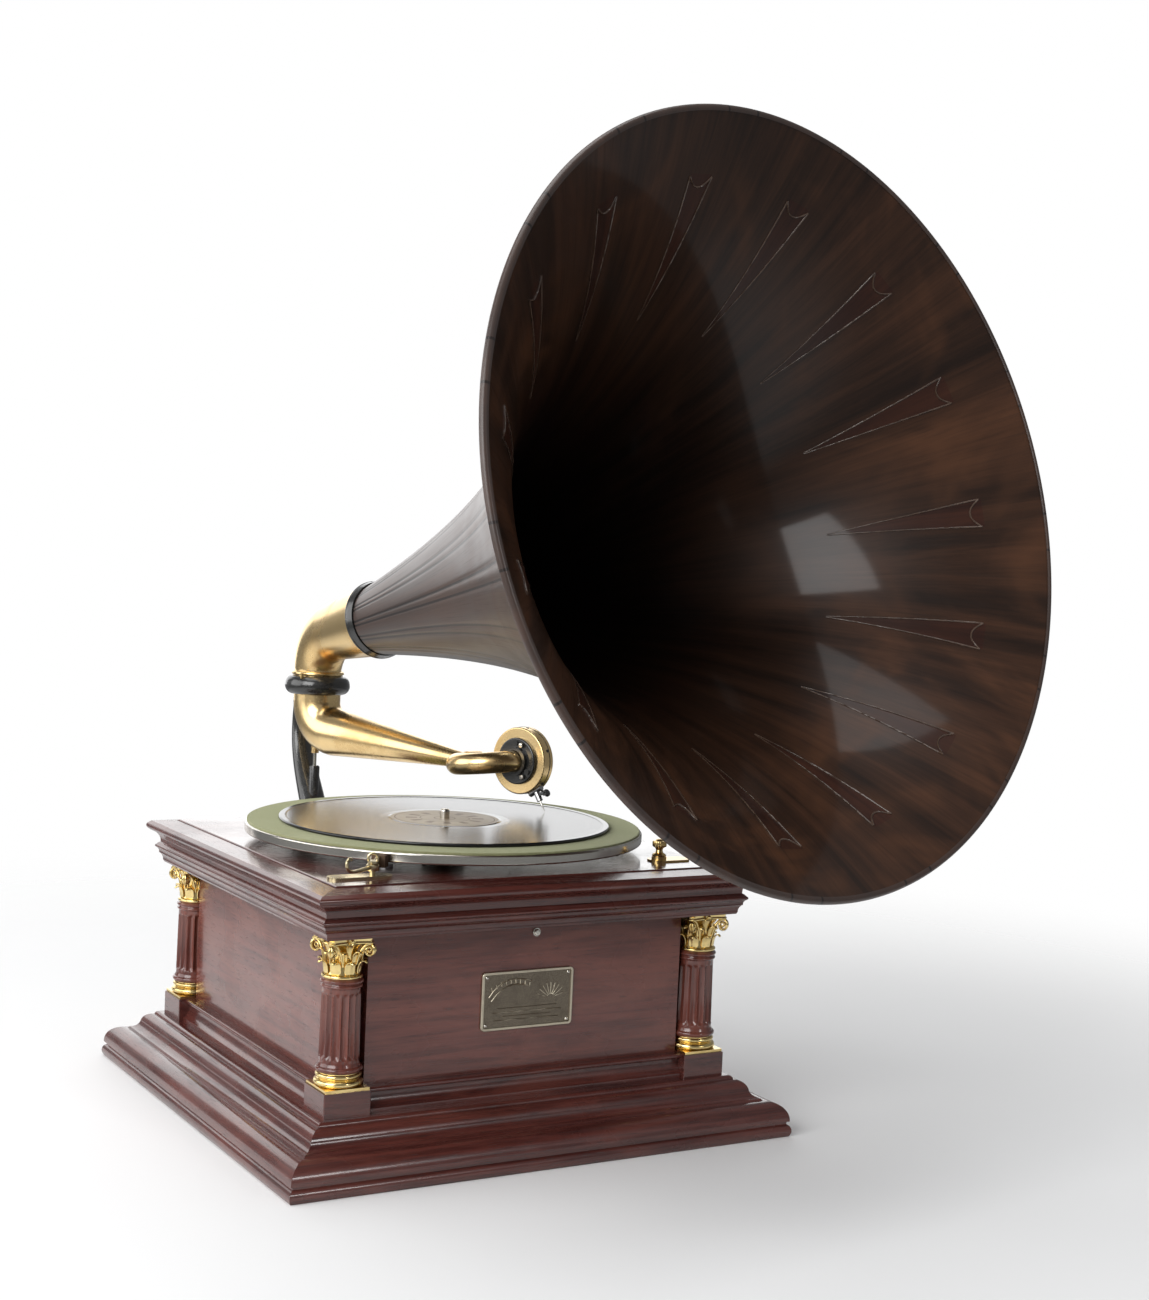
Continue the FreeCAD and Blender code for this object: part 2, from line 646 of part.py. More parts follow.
def make_face_gear():
    back = -14.0
    crown = rod_x(back - 6, back, layshaft_y, layshaft_z, face_pitch + 3)
    crown = crown.cut(rod_x(back - 2.5, back + 1, layshaft_y, layshaft_z, face_pitch - 3))
    tooth_long = TOOTH_HEAD * FACE_MODULE + TOOTH_FOOT * FACE_MODULE
    front = -spindle_pitch + TOOTH_HEAD * FACE_MODULE
    pitch = math.pi * FACE_MODULE
    half = pitch * TOOTH_FILL / 2
    collar = rod_x(back - 1, front - tooth_long, layshaft_y, layshaft_z, face_pitch + 3)
    collar = collar.cut(rod_x(back - 2, front, layshaft_y, layshaft_z, face_pitch - 3))
    root = front - tooth_long - 0.5
    corners = [Vector(root, -half, 0), Vector(front, -half * 0.3, 0), Vector(front, half * 0.3, 0),
               Vector(root, half, 0)]
    tooth = Part.Face(Part.makePolygon(corners + corners[:1])).extrude(Vector(0, 0, 6))
    tooth.translate(Vector(0, layshaft_y, layshaft_z + face_pitch - 3))
    centre = Vector(0, layshaft_y, layshaft_z)
    teeth = [turned(tooth, centre, X_AXIS, 360.0 * i / FACE_TEETH) for i in range(FACE_TEETH)]
    wheel = crown.fuse([collar] + teeth)
    return wheel.cut(rod_x(back - 7, 0, layshaft_y, layshaft_z, 4.02))


def make_governor_shaft():
    y = governor_y
    z = GOVERNOR_Z
    shaft = rod_x(-77, 61, y, z, 2.0)
    worm = rod_x(-12, 12, y, z, worm_r - 0.6)
    pieces = [shaft, worm]
    for i in range(9):
        x = -10.4 + 2.6 * i
        pieces.append(rod_x(x - 0.5, x + 0.5, y, z, worm_r))
    pieces.append(rod_x(-60, -57, y, z, 14.0))
    pieces.append(rod_x(-57.5, -52, y, z, 4.0))
    pieces.append(rod_x(-24, -19, y, z, 4.0))
    return fuse(pieces)


def make_governor_weights():
    """Three weights on flat springs between the two hubs of the governor."""
    centre = Vector(0, governor_y, GOVERNOR_Z)
    weights = []
    for i in range(3):
        spring = Part.Face(outline((-56, 4.05), [
            (-52.5, 4.05), (-38, 14.0, -23.5, 4.05), (-19.5, 4.05), (-19.5, 4.45), (-23.5, 4.45),
            (-38, 14.4, -52.5, 4.45), (-56, 4.45)])).extrude(Vector(0, 4, 0))
        spring.translate(Vector(0, -2, 0))
        ball = rod_x(-42, -34, 0, 14.2, 3.6)
        one = fuse([spring, ball])
        one.translate(centre)
        weights.append(turned(one, centre, X_AXIS, 120 * i))
    return weights


# ---------------------------------------------------------------- crank
def make_crank_shaft():
    shaft = rod_x(54, CRANK_SIDE_X + 3, WIND_Y, WIND_Z, SHAFT_R)
    phase = 180 + 180 / WIND_TEETH
    pinion = moved(gear(WIND_TEETH, GEAR_MODULE, 10.0, SHAFT_R - 0.5, phase), 65, WIND_Y, WIND_Z)
    return fuse([shaft, pinion])


def make_crank_arm():
    """Flat forged arm with a boss on the shaft and another for the knob's pin."""
    x0 = CRANK_SIDE_X - 5
    x1 = CRANK_SIDE_X + 5
    hub = rod_x(x0, x1, WIND_Y, WIND_Z, 10.5)
    end_y = WIND_Y + CRANK_THROW
    eye = rod_x(x0 + 1, x1 - 1, end_y, WIND_Z, 8.0)
    corners = [Vector(x0 + 2, WIND_Y, WIND_Z - 8), Vector(x0 + 2, end_y, WIND_Z - 5.5),
               Vector(x0 + 2, end_y, WIND_Z + 5.5), Vector(x0 + 2, WIND_Y, WIND_Z + 8)]
    web = Part.Face(Part.makePolygon(corners + corners[:1])).extrude(Vector(6, 0, 0))
    pin = rod_x(x1 - 2, x1 + KNOB_LENGTH + 2.0, end_y, WIND_Z, 3.5)
    head = rod_x(x1 + KNOB_LENGTH + 1.0, x1 + KNOB_LENGTH + 2.6, end_y, WIND_Z, 6.0)
    arm = fuse([hub, eye, web, pin, head])
    return arm.cut(rod_x(x0 - 1, CRANK_SIDE_X + 3, WIND_Y, WIND_Z, SHAFT_R))


def make_crank_knob():
    """Turned wooden grip that spins on the pin."""
    length = KNOB_LENGTH
    wire = outline((3.5 + RUN_GAP, 0), [
        (9.5, 0), (10.2, 2, 9.4, 4), (8.6, 10), (13.8, length * 0.62, 12.0, length - 8),
        (10.5, length - 1.5, 6, length),
        (3.5 + RUN_GAP, length)])
    grip = Part.Face(wire).revolve(Vector(0, 0, 0), Z_AXIS, 360)
    grip.rotate(Vector(0, 0, 0), Y_AXIS, 90)
    grip.translate(Vector(CRANK_SIDE_X + 5.4, WIND_Y + CRANK_THROW, WIND_Z))
    return grip


# ---------------------------------------------------------------- bracket and collar
def set_screw(radius):
    angle = math.radians(215)
    seat = Vector(math.cos(angle), math.sin(angle), 0) * (COLLAR_R - 2.6) + Vector(0, SWIVEL_Y,
            COLLAR_TOP - 1.5)
    return rod(seat, seat + Vector(0, 0, 4.5), radius)


def make_back_bracket():
    """Cast bracket: a foot on the back wall, an arm that sweeps up, the collar and the pivot post."""
    half = 9.0
    back = WALL_FACE + MITRE_GAP
    mid = SWIVEL_Y
    arm_wire = outline((mid + 24, COLLAR_FOOT + 1), [
        (mid + 27, COLLAR_FOOT + 12), (mid + 36, COLLAR_FOOT + 2), (mid + 52, 266, mid + 54, 234),
        (mid + 47, 214, mid + 27, 192), (mid + 2, 160, mid - 40, 134), (back + 8, 118), (back + 8, 144),
        (mid - 62, 151), (mid - 20, 163, mid + 5, 190), (mid + 12, 212), (mid + 11, 227), (mid + 23, 241),
        (mid + 37, 251), (mid + 37, 274, mid + 24, COLLAR_FOOT + 1)])
    arm = Part.Face(arm_wire).extrude(Vector(0, 2 * half, 0))
    arm.translate(Vector(0, -half, 0))
    arm.rotate(Vector(0, 0, 0), Z_AXIS, 90)
    foot = box(-34, 34, back, back + 8, FOOT_LOW, FOOT_HIGH)
    corners = [e for e in foot.Edges if abs(e.tangentAt(e.FirstParameter).y) > 0.9]
    foot = foot.makeFillet(9.0, corners)
    collar = spun(outline((SOCKET_R + RUN_GAP, COLLAR_FOOT), [
        (COLLAR_R - 3.5, COLLAR_FOOT), (COLLAR_R - 0.6, COLLAR_FOOT + 2.2, COLLAR_R,
                                        (COLLAR_FOOT + COLLAR_TOP) / 2),
        (COLLAR_R - 0.6, COLLAR_TOP - 2.2, COLLAR_R - 3.5, COLLAR_TOP), (SOCKET_R + RUN_GAP, COLLAR_TOP)]))
    collar.translate(Vector(0, SWIVEL_Y, 0))
    post = rod_z(0, SWIVEL_Y, 176, POST_TOP, 4.6)
    bore = rod_z(0, SWIVEL_Y, COLLAR_FOOT - 1, COLLAR_TOP + 1, SOCKET_R + RUN_GAP)
    return fuse([arm, foot, collar, post]).cut(bore).cut(set_screw(1.52))


def make_bracket_screws():
    screws = []
    face = WALL_FACE + MITRE_GAP + 8
    for x in (-24, 24):
        for z in (FOOT_LOW + 11, FOOT_HIGH - 11):
            head = rod_y(face, face + 2.4, x, z, 5.0)
            rim = [e for e in head.Edges if e.BoundBox.YMin > face + 2.3]
            screws.append(head.makeFillet(1.2, rim))
    screws.append(set_screw(1.5))
    return screws


def make_arm_pivot_pin():
    return rod_z(0, SWIVEL_Y, POST_TOP, PIVOT_TOP, PIVOT_R)


# ---------------------------------------------------------------- brake and speed regulator
def make_brake_plate():
    plate = box(-151, -104, BRAKE_Y - 7, BRAKE_Y + 7, BOARD_TOP, BOARD_TOP + 1.6)
    corners = [e for e in plate.Edges if abs(e.tangentAt(e.FirstParameter).z) > 0.9]
    plate = plate.makeFillet(6.0, corners)
    post = rod_z(BRAKE_X, BRAKE_Y, BOARD_TOP + 1, BOARD_TOP + 11.5, 2.2)
    head = rod_z(BRAKE_X, BRAKE_Y, BOARD_TOP + 10.0, BOARD_TOP + 11.6, 4.2)
    return fuse([plate, post, head])


def brake_arm_angle():
    """Direction from the brake's post to the middle of the turntable."""
    return math.degrees(math.atan2(SPINDLE_Y - BRAKE_Y, -BRAKE_X))


def make_brake_lever():
    """Lever on its post: a short arm to the turntable's rim and a curled finger piece on the other side."""
    z0 = BOARD_TOP + 4.5
    boss = rod_z(0, 0, z0, z0 + 5.0, 5.2)
    arm = box(0, 11.5, -2.6, 2.6, z0 + 1.0, z0 + 4.0)
    tail = box(-22, 0, -2.4, 2.4, z0 + 1.0, z0 + 3.6)
    hook = Part.makeTorus(7.0, 1.8, Vector(-27, 5, z0 + 2.4), Z_AXIS)
    hook = hook.cut(box(-26.4, -15, 4.8, 20, z0 - 5, z0 + 10))
    lever = fuse([boss, arm, tail, hook])
    lever = lever.cut(rod_z(0, 0, z0 - 1, z0 + 6, 2.2 + RUN_GAP))
    lever.rotate(Vector(0, 0, 0), Z_AXIS, brake_arm_angle())
    lever.translate(Vector(BRAKE_X, BRAKE_Y, 0))
    return lever


def make_brake_pad():
    reach = math.hypot(BRAKE_X, BRAKE_Y - SPINDLE_Y) - PLATTER_R
    z0 = BOARD_TOP + 4.5
    pad = box(11.5, reach + 1, -5.0, 5.0, z0 + 0.4, z0 + 9.0)
    pad.rotate(Vector(0, 0, 0), Z_AXIS, brake_arm_angle())
    pad.translate(Vector(BRAKE_X, BRAKE_Y, 0))
    return pad.cut(rod_z(0, SPINDLE_Y, BOARD_TOP, BOARD_TOP + 30, PLATTER_R + PAD_GAP))


def make_speed_dial():
    plate = box(SPEED_X - 8, SPEED_X + 25, SPEED_Y - 8, SPEED_Y + 8, BOARD_TOP, BOARD_TOP + 1.2)
    corners = [e for e in plate.Edges if abs(e.tangentAt(e.FirstParameter).z) > 0.9]
    plate = plate.makeFillet(6.0, corners)
    collar = rod_z(SPEED_X, SPEED_Y, BOARD_TOP, BOARD_TOP + 3.4, 5.6)
    bore = rod_z(SPEED_X, SPEED_Y, BOARD_TOP - 1, BOARD_TOP + 5, 2.4 + RUN_GAP)
    return fuse([plate, collar]).cut(bore)


def make_speed_knob():
    z0 = BOARD_TOP + 3.8
    wire = outline((0, z0), [
        (4.2, z0), (4.2, z0 + 1.4), (3.0, z0 + 2.4), (3.0, z0 + 4.8), (5.0, z0 + 6.0),
        (5.4, z0 + 8.9, 5.0, z0 + 11.8),
        (3.8, z0 + 12.8), (0, z0 + 12.8)])
    knob = spun(wire, Vector(SPEED_X, SPEED_Y, 0))
    notches = []
    for i in range(24):
        cut = rod_z(SPEED_X + 5.6, SPEED_Y, z0 + 6, z0 + 12.4, 0.42)
        notches.append(turned(cut, Vector(SPEED_X, SPEED_Y, 0), Z_AXIS, 15 * i))
    stem = rod_z(SPEED_X, SPEED_Y, MOTOR_TOP + 5.0, z0 + 1, 2.4)
    return fuse([knob.cut(notches), stem])


def flat_bar(start, end, half_width, z0, z1):
    """Flat bar between two points in plan, with round ends."""
    along = Vector(end[0] - start[0], end[1] - start[1], 0)
    bar = box(0, along.Length, -half_width, half_width, z0, z1)
    bar.rotate(Vector(0, 0, 0), Z_AXIS, math.degrees(math.atan2(along.y, along.x)))
    bar.translate(Vector(start[0], start[1], 0))
    ends = [rod_z(x, y, z0, z1, half_width) for x, y in (start, end)]
    return fuse([bar] + ends)


def make_speed_lever():
    """Cranked bar under the motor board, from the regulator's screw to the governor's disc."""
    z0 = MOTOR_TOP + 1.5
    z1 = z0 + 3.0
    to_screw = flat_bar((SPEED_X - 5, SPEED_Y + 5), LEVER_PIVOT, 4.0, z0, z1)
    to_disc = flat_bar(LEVER_PIVOT, (-48.5, 36), 4.0, z0, z1)
    hub = rod_z(LEVER_PIVOT[0], LEVER_PIVOT[1], z0, z1, 7.0)
    finger = box(-52, -47, 33.5, 38, GOVERNOR_Z - 3, z1)
    pad = box(-56.6, -52, 26, 38, GOVERNOR_Z - 3, GOVERNOR_Z + 3)
    lever = fuse([to_screw, to_disc, hub, finger, pad])
    bore = rod_z(LEVER_PIVOT[0], LEVER_PIVOT[1], z0 - 1, z1 + 1, 2.5 + RUN_GAP)
    return lever.cut(bore)


# ---------------------------------------------------------------- horn
def horn_radius(s):
    growth = (math.exp(HORN_FLARE * s) - 1) / (math.exp(HORN_FLARE) - 1)
    return HORN_THROAT_R + HORN_CONE * s + (HORN_R - HORN_THROAT_R - HORN_CONE) * growth


def place_horn(shape):
    """From the horn's own frame, with its throat at the origin and its axis along +X, to where it stands."""
    shape.rotate(Vector(0, 0, 0), Y_AXIS, -HORN_TILT)
    shape.translate(Vector(HORN_START, 0, HORN_START_Z))
    shape.rotate(Vector(0, 0, 0), Z_AXIS, HORN_AZIMUTH - 90)
    shape.translate(Vector(0, SWIVEL_Y, 0))
    return shape


def horn_curve(inset, first, last, count):
    """Points along the flare, moved square to the wall by the inset."""
    points = []
    for i in range(count + 1):
        s = first + (last - first) * i / count
        slope = (horn_radius(s + 1e-4) - horn_radius(s - 1e-4)) / (2e-4 * HORN_LENGTH)
        length = math.hypot(1, slope)
        points.append(Vector(s * HORN_LENGTH + inset * slope / length, 0, horn_radius(s) - inset / length))
    return points


def spline(points):
    curve = Part.BSplineCurve()
    curve.interpolate(points)
    return curve.toShape()


def horn_shell(inset, wall, first, last):
    outside = horn_curve(inset, first, last, 24)
    inside = horn_curve(inset + wall, first, last, 24)
    edges = [spline(outside), Part.makeLine(outside[-1], inside[-1]), spline(inside),
             Part.makeLine(inside[0], outside[0])]
    face = Part.Face(Part.Wire(Part.__sortEdges__(edges)))
    return face.revolve(Vector(0, 0, 0), X_AXIS, 360)


def make_horn_bell():
    return place_horn(horn_shell(HORN_SKIN, HORN_WALL, BELL_FROM, BELL_TO))


def make_horn_rim():
    """Round-nosed lip on the edge of the bell, planed in narrow flats, a little thicker than its wall."""
    outside = horn_curve(HORN_SKIN - LIP_PROUD, BELL_FROM, BELL_TO, 1)[-1]
    inside = horn_curve(HORN_SKIN + HORN_WALL + LIP_PROUD, BELL_FROM, BELL_TO, 1)[-1]
    across = inside.sub(outside)
    ahead = Vector(-across.z, 0, across.x).normalize()
    middle = (outside + inside) * 0.5 + ahead * MITRE_GAP
    reach = outside - (outside + inside) * 0.5
    points = []
    for i in range(LIP_FLATS + 1):
        angle = math.pi * i / LIP_FLATS
        points.append(middle + reach * math.cos(angle) + ahead * (LIP_LONG * math.sin(angle)))
    edges = [Part.makeLine(points[i], points[i + 1]) for i in range(LIP_FLATS)]
    edges.append(Part.makeLine(points[-1], points[0]))
    return place_horn(Part.Face(Part.Wire(edges)).revolve(Vector(0, 0, 0), X_AXIS, 360))


def make_horn_ferrule():
    """Dark ring that holds the staves, with the socket that slips over the elbow."""
    wire = outline((0.6, HORN_THROAT_R + 0.4), [
        (0.6, HORN_THROAT_R + 2.0), (2.0, HORN_THROAT_R + 3.4, 4.2, HORN_THROAT_R + 3.0),
        (9.5, HORN_THROAT_R + 1.9),
        (9.5, HORN_THROAT_R + 0.0)])
    ring = Part.Face(wire).revolve(Vector(0, 0, 0), X_AXIS, 360)
    return place_horn(ring)


def make_elbow():
    """Gilt elbow: a straight spigot in the collar, a widening bend, and a cone up to the horn."""
    foot = Vector(0, 0, COLLAR_FOOT + 8)
    turn = 90 - HORN_TILT
    bend_grows = 4.4
    along = Vector(math.cos(math.radians(HORN_TILT)), 0, math.sin(math.radians(HORN_TILT)))
    end = Vector(HORN_START, 0, HORN_START_Z)

    def solid(inset):
        spigot = rod(foot, Vector(0, 0, ELBOW_BEND_Z), SOCKET_R - inset)
        rows = []
        for i in range(9):
            angle = math.radians(turn * i / 8)
            centre = Vector(ELBOW_BEND_R * (1 - math.cos(angle)), 0,
                            ELBOW_BEND_Z + ELBOW_BEND_R * math.sin(angle))
            rows.append((centre, Vector(math.sin(angle), 0, math.cos(angle)),
                         SOCKET_R + bend_grows * i / 8 - inset))
        last = rows[-1][0]
        tip = last + along * (end - last).dot(along)
        throat = cone(last, tip, SOCKET_R + bend_grows - inset, HORN_THROAT_R + 1.2 - inset)
        return spigot.fuse([tube_loft(rows), throat])

    body = solid(0).cut(solid(ELBOW_WALL))
    shoulder = Part.makeTorus(SOCKET_R + 0.6, 1.8, Vector(0, 0, COLLAR_TOP + 2.2), Z_AXIS)
    shoulder = shoulder.cut(Part.makeCylinder(SOCKET_R - 0.8, 12, Vector(0, 0, COLLAR_TOP - 3)))
    elbow = fuse([body, shoulder])
    elbow.rotate(Vector(0, 0, 0), Z_AXIS, HORN_AZIMUTH - 90)
    elbow.translate(Vector(0, SWIVEL_Y, 0))
    return elbow


# ---------------------------------------------------------------- tone arm and sound box
# These are drawn along +X from the swivel axis with the sound box's back on +Y, mirrored and turned,
# so that the back and the gooseneck stand on the side away from the crank.
def place_arm(shape):
    shape = shape.mirror(Vector(0, 0, 0), Y_AXIS)
    shape.rotate(Vector(0, 0, 0), Z_AXIS, ARM_AZIMUTH - 90)
    shape.translate(Vector(0, SWIVEL_Y, 0))
    return shape


def arm_line(u):
    return ARM_LINE_Z - math.tan(math.radians(ARM_SLOPE)) * u


flip_z = arm_line(FLIP_U)
box_u = FLIP_U + 2 * NECK_BEND
needle_out = Vector(math.sin(math.radians(NEEDLE_LEAN)), 0, -math.cos(math.radians(NEEDLE_LEAN)))
needle_tip_z = record_top + NEEDLE_GAP
needle_reach = (BOX_Z - needle_tip_z) / math.cos(math.radians(NEEDLE_LEAN))
face_y = -BOX_THICK / 2      # the diaphragm's side of the sound box


def box_point(along, across=0.0, side=0.0):
    """A point along the needle's line from the middle of the sound box, square to it, and sideways."""
    up = Vector(math.cos(math.radians(NEEDLE_LEAN)), 0, math.sin(math.radians(NEEDLE_LEAN)))
    return Vector(box_u, side, BOX_Z) + needle_out * along + up * across


def make_tone_arm():
    """Tapering arm: a straight top in the collar, a quarter bend, a long cone and a knuckle."""
    top = COLLAR_FOOT + 6.0
    turn = 90 - ARM_SLOPE
    reach = ARM_BEND_R * (1 - math.cos(math.radians(turn)))
    bend_z = arm_line(reach) + ARM_BEND_R * math.sin(math.radians(turn))
    start = Vector(reach, 0, arm_line(reach))
    end = Vector(FLIP_U - NECK_R, 0, arm_line(FLIP_U - NECK_R))

    def solid(inset):
        upright = rod_z(0, 0, top, bend_z, SOCKET_R - inset)
        quarter = bend(Vector(0, 0, bend_z), Z_AXIS, SOCKET_R - inset, Vector(ARM_BEND_R, 0, bend_z), -turn)
        taper = cone(start, end, SOCKET_R - inset, ARM_ROOT_R - ARM_TAPER * end.x - inset)
        return upright.fuse([quarter, taper])

    body = solid(0).cut(solid(ARM_WALL))
    wall_y = NECK_R - 2.0
    knuckle = rod_y(-wall_y, wall_y, FLIP_U, flip_z, NECK_R + 0.6)
    knuckle = knuckle.fuse(Part.makeSphere(NECK_R + 0.6, Vector(FLIP_U, -wall_y, flip_z)))
    knuckle = knuckle.cut(rod_y(-wall_y, NECK_R, FLIP_U, flip_z, NECK_R - 1.2))
    knuckle = knuckle.cut(rod_y(0.6, NECK_R + 2, FLIP_U, flip_z, NECK_R - 0.6 + RUN_GAP))
    pivot_boss = rod_z(0, 0, PIVOT_TOP - 8.0, PIVOT_TOP + 1.5, 3.4)
    arm = fuse([body, knuckle, pivot_boss])
    arm = arm.cut(rod_z(0, 0, POST_TOP, PIVOT_TOP + 0.5, PIVOT_R + RUN_GAP))
    return place_arm(arm)


def make_gooseneck():
    """Half-round tube from the arm's knuckle out to the left and back into the sound box."""
    start_y = NECK_R + 0.4
    middle = Vector(FLIP_U + NECK_BEND, start_y, (flip_z + BOX_Z) / 2)
    rise = Vector(NECK_BEND, 0, (BOX_Z - flip_z) / 2)
    left = Vector(0, NECK_BEND, 0)

    def solid(inset):
        rows = []
        for i in range(13):
            angle = math.pi * i / 12
            centre = middle - rise * math.cos(angle) + left * math.sin(angle)
            rows.append((centre, rise * math.sin(angle) + left * math.cos(angle), NECK_R - inset))
        inlet = rod(Vector(FLIP_U, 1.0, flip_z), rows[0][0], NECK_R - 0.6 - inset)
        outlet = rod(Vector(box_u, BOX_THICK / 2 + 0.1, BOX_Z), rows[-1][0], NECK_R - inset)
        return tube_loft(rows).fuse([inlet, outlet])

    return place_arm(solid(0).cut(solid(1.0)))


def make_soundbox_shell():
    """Gilt shell and face ring."""
    half = BOX_THICK / 2
    wire = outline((BOX_R - 6.5, -half), [
        (BOX_R - 1.2, -half), (BOX_R - 0.2, -half + 0.4, BOX_R, -half + 1.6), (BOX_R, half - 1.6),
        (BOX_R - 0.2, half - 0.4, BOX_R - 1.2, half), (BOX_R - 8.0, half), (BOX_R - 8.0, half - 3.0),
        (BOX_R - 3.0, half - 3.0), (BOX_R - 3.0, -half + 2.0), (BOX_R - 6.5, -half + 2.0)])
    ring = Part.Face(wire).revolve(Vector(0, 0, 0), Z_AXIS, 360)
    ring.rotate(Vector(0, 0, 0), X_AXIS, -90)
    ring.translate(Vector(box_u, 0, BOX_Z))
    return place_arm(ring)


def make_soundbox_back():
    """Dark back flange with its rubber seat and three screws."""
    half = BOX_THICK / 2
    disc = rod_y(half - 2.8, half + 3.0, box_u, BOX_Z, BOX_R - 8.1)
    rim = [e for e in disc.Edges if e.BoundBox.YMin > half + 2.9]
    disc = disc.makeFillet(1.2, rim)
    boss = rod_y(half + 2.0, half + 6.0, box_u, BOX_Z, NECK_R + 3.0)
    pieces = [disc, boss]
    for i in range(3):
        angle = math.radians(90 + 120 * i)
        centre = Vector(box_u + 14.8 * math.cos(angle), half + 2.5, BOX_Z + 14.8 * math.sin(angle))
        pieces.append(rod(centre, centre + Vector(0, 2.1, 0), 2.3))
    back = fuse(pieces)
    back = back.cut(rod_y(0, half + 8, box_u, BOX_Z, NECK_R + 0.3))
    return place_arm(back)


def make_diaphragm():
    half = BOX_THICK / 2
    mica = rod_y(-half + 2.3, -half + 2.9, box_u, BOX_Z, BOX_R - 3.1)
    gasket = rod_y(-half + 3.0, -half + 5.0, box_u, BOX_Z, BOX_R - 3.1)
    gasket = gasket.cut(rod_y(-half + 2.9, -half + 5.1, box_u, BOX_Z, BOX_R - 6.0))
    return [place_arm(mica), place_arm(gasket)]


def make_stylus_bar():
    """Bar from the middle of the diaphragm over the ring to the needle socket, with its pivot block."""
    side = face_y - 1.8
    screw = rod(box_point(0, 0, side + 0.8), box_point(0, 0, face_y + 2.2), 1.1)
    bar = rod(box_point(-1.5, 0, side), box_point(BOX_R + 4.0, 0, side), 1.1)
    turn_in = rod(box_point(BOX_R + 3.5, 0, side), box_point(BOX_R + 3.5, 0, 0), 1.4)
    block = rod(box_point(BOX_R + 0.3, -6.5, 0), box_point(BOX_R + 0.3, 6.5, 0), 2.6)
    socket = rod(box_point(BOX_R + 2.0, 0, 0), box_point(BOX_R + 9.5, 0, 0), 2.4)
    bar = fuse([screw, bar, turn_in, block, socket])
    bar = bar.cut(rod(box_point(BOX_R + 3.5, 0, 0), box_point(BOX_R + 10.5, 0, 0), 0.8))
    bar = bar.cut(rod(box_point(BOX_R + 7.0, 0, 0), box_point(BOX_R + 7.0, 4.0, 0), 0.95 + RUN_GAP))
    keep_out = rod_y(-BOX_THICK / 2, BOX_THICK / 2, box_u, BOX_Z, BOX_R + 0.05)
    return place_arm(bar.cut(keep_out.cut(rod_y(-10, 0, box_u, BOX_Z, 3.0))))


def make_needle():
    start = box_point(BOX_R + 3.6)
    shoulder = box_point(needle_reach - 5.0)
    shank = rod(start, shoulder, 0.75)
    point = Part.makeCone(0.75, 0.12, 5.0, shoulder, needle_out)
    return place_arm(fuse([shank, point]))


def make_needle_screw():
    """Milled thumb screw that clamps the needle."""
    stem = rod(box_point(BOX_R + 7.0, 1.0), box_point(BOX_R + 7.0, 5.0), 0.95)
    head = rod(box_point(BOX_R + 7.0, 3.0), box_point(BOX_R + 7.0, 8.0), 3.4)
    return place_arm(fuse([stem, head]))


# ---------------------------------------------------------------- nodes
NODES = [
    ("bottom_board", make_bottom_board), ("base_moulding", make_base_moulding),
    ("inner_base_moulding", make_inner_base_moulding), ("front_panel", make_front_panel),
    ("back_panel", make_back_panel), ("left_panel", make_left_panel), ("right_panel", make_right_panel),
    ("corner_posts", make_corner_posts), ("column_pedestals", make_column_pedestals),
    ("column_bases", make_column_bases), ("column_shafts", make_column_shafts),
    ("column_capitals", make_column_capitals), ("cornice_moulding", make_cornice_moulding),
    ("motor_board", make_motor_board), ("name_plate", make_name_plate),
    ("name_plate_pins", make_name_plate_pins),
    ("front_button", make_front_button), ("crank_escutcheon", make_crank_escutcheon),
    ("motor_top_plate", make_motor_top_plate), ("motor_frame_plates", make_motor_frame_plates),
    ("motor_bolts", make_motor_bolts), ("spindle_bearing", make_spindle_bearing),
    ("clutch_spring", make_clutch_spring), ("turntable_platter", make_turntable_platter),
    ("turntable_felt", make_turntable_felt), ("record_disc", make_record_disc),
    ("turntable_spindle", make_turntable_spindle), ("spring_barrel", make_spring_barrel),
    ("mainsprings", make_mainsprings), ("great_gear", make_great_gear), ("barrel_arbor", make_barrel_arbor),
    ("intermediate_arbor", make_intermediate_arbor), ("face_gear", make_face_gear),
    ("governor_shaft", make_governor_shaft), ("governor_weights", make_governor_weights),
    ("crank_shaft", make_crank_shaft), ("crank_arm", make_crank_arm), ("crank_knob", make_crank_knob),
    ("back_bracket", make_back_bracket), ("bracket_screws", make_bracket_screws),
    ("arm_pivot_pin", make_arm_pivot_pin), ("brake_plate", make_brake_plate),
    ("brake_lever", make_brake_lever),
    ("brake_pad", make_brake_pad), ("speed_dial", make_speed_dial), ("speed_knob", make_speed_knob),
    ("speed_lever", make_speed_lever), ("horn_bell", make_horn_bell), ("horn_rim", make_horn_rim),
    ("horn_ferrule", make_horn_ferrule), ("elbow", make_elbow), ("tone_arm", make_tone_arm),
    ("gooseneck", make_gooseneck), ("soundbox_shell", make_soundbox_shell),
    ("soundbox_back", make_soundbox_back),
    ("diaphragm", make_diaphragm), ("stylus_bar", make_stylus_bar), ("needle", make_needle),
    ("needle_screw", make_needle_screw),
]

os.makedirs("parts", exist_ok=True)
for node_name, make in NODES:
    save(node_name, make())
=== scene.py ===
import json
import math
import bmesh
import bpy
from mathutils import Matrix, Vector


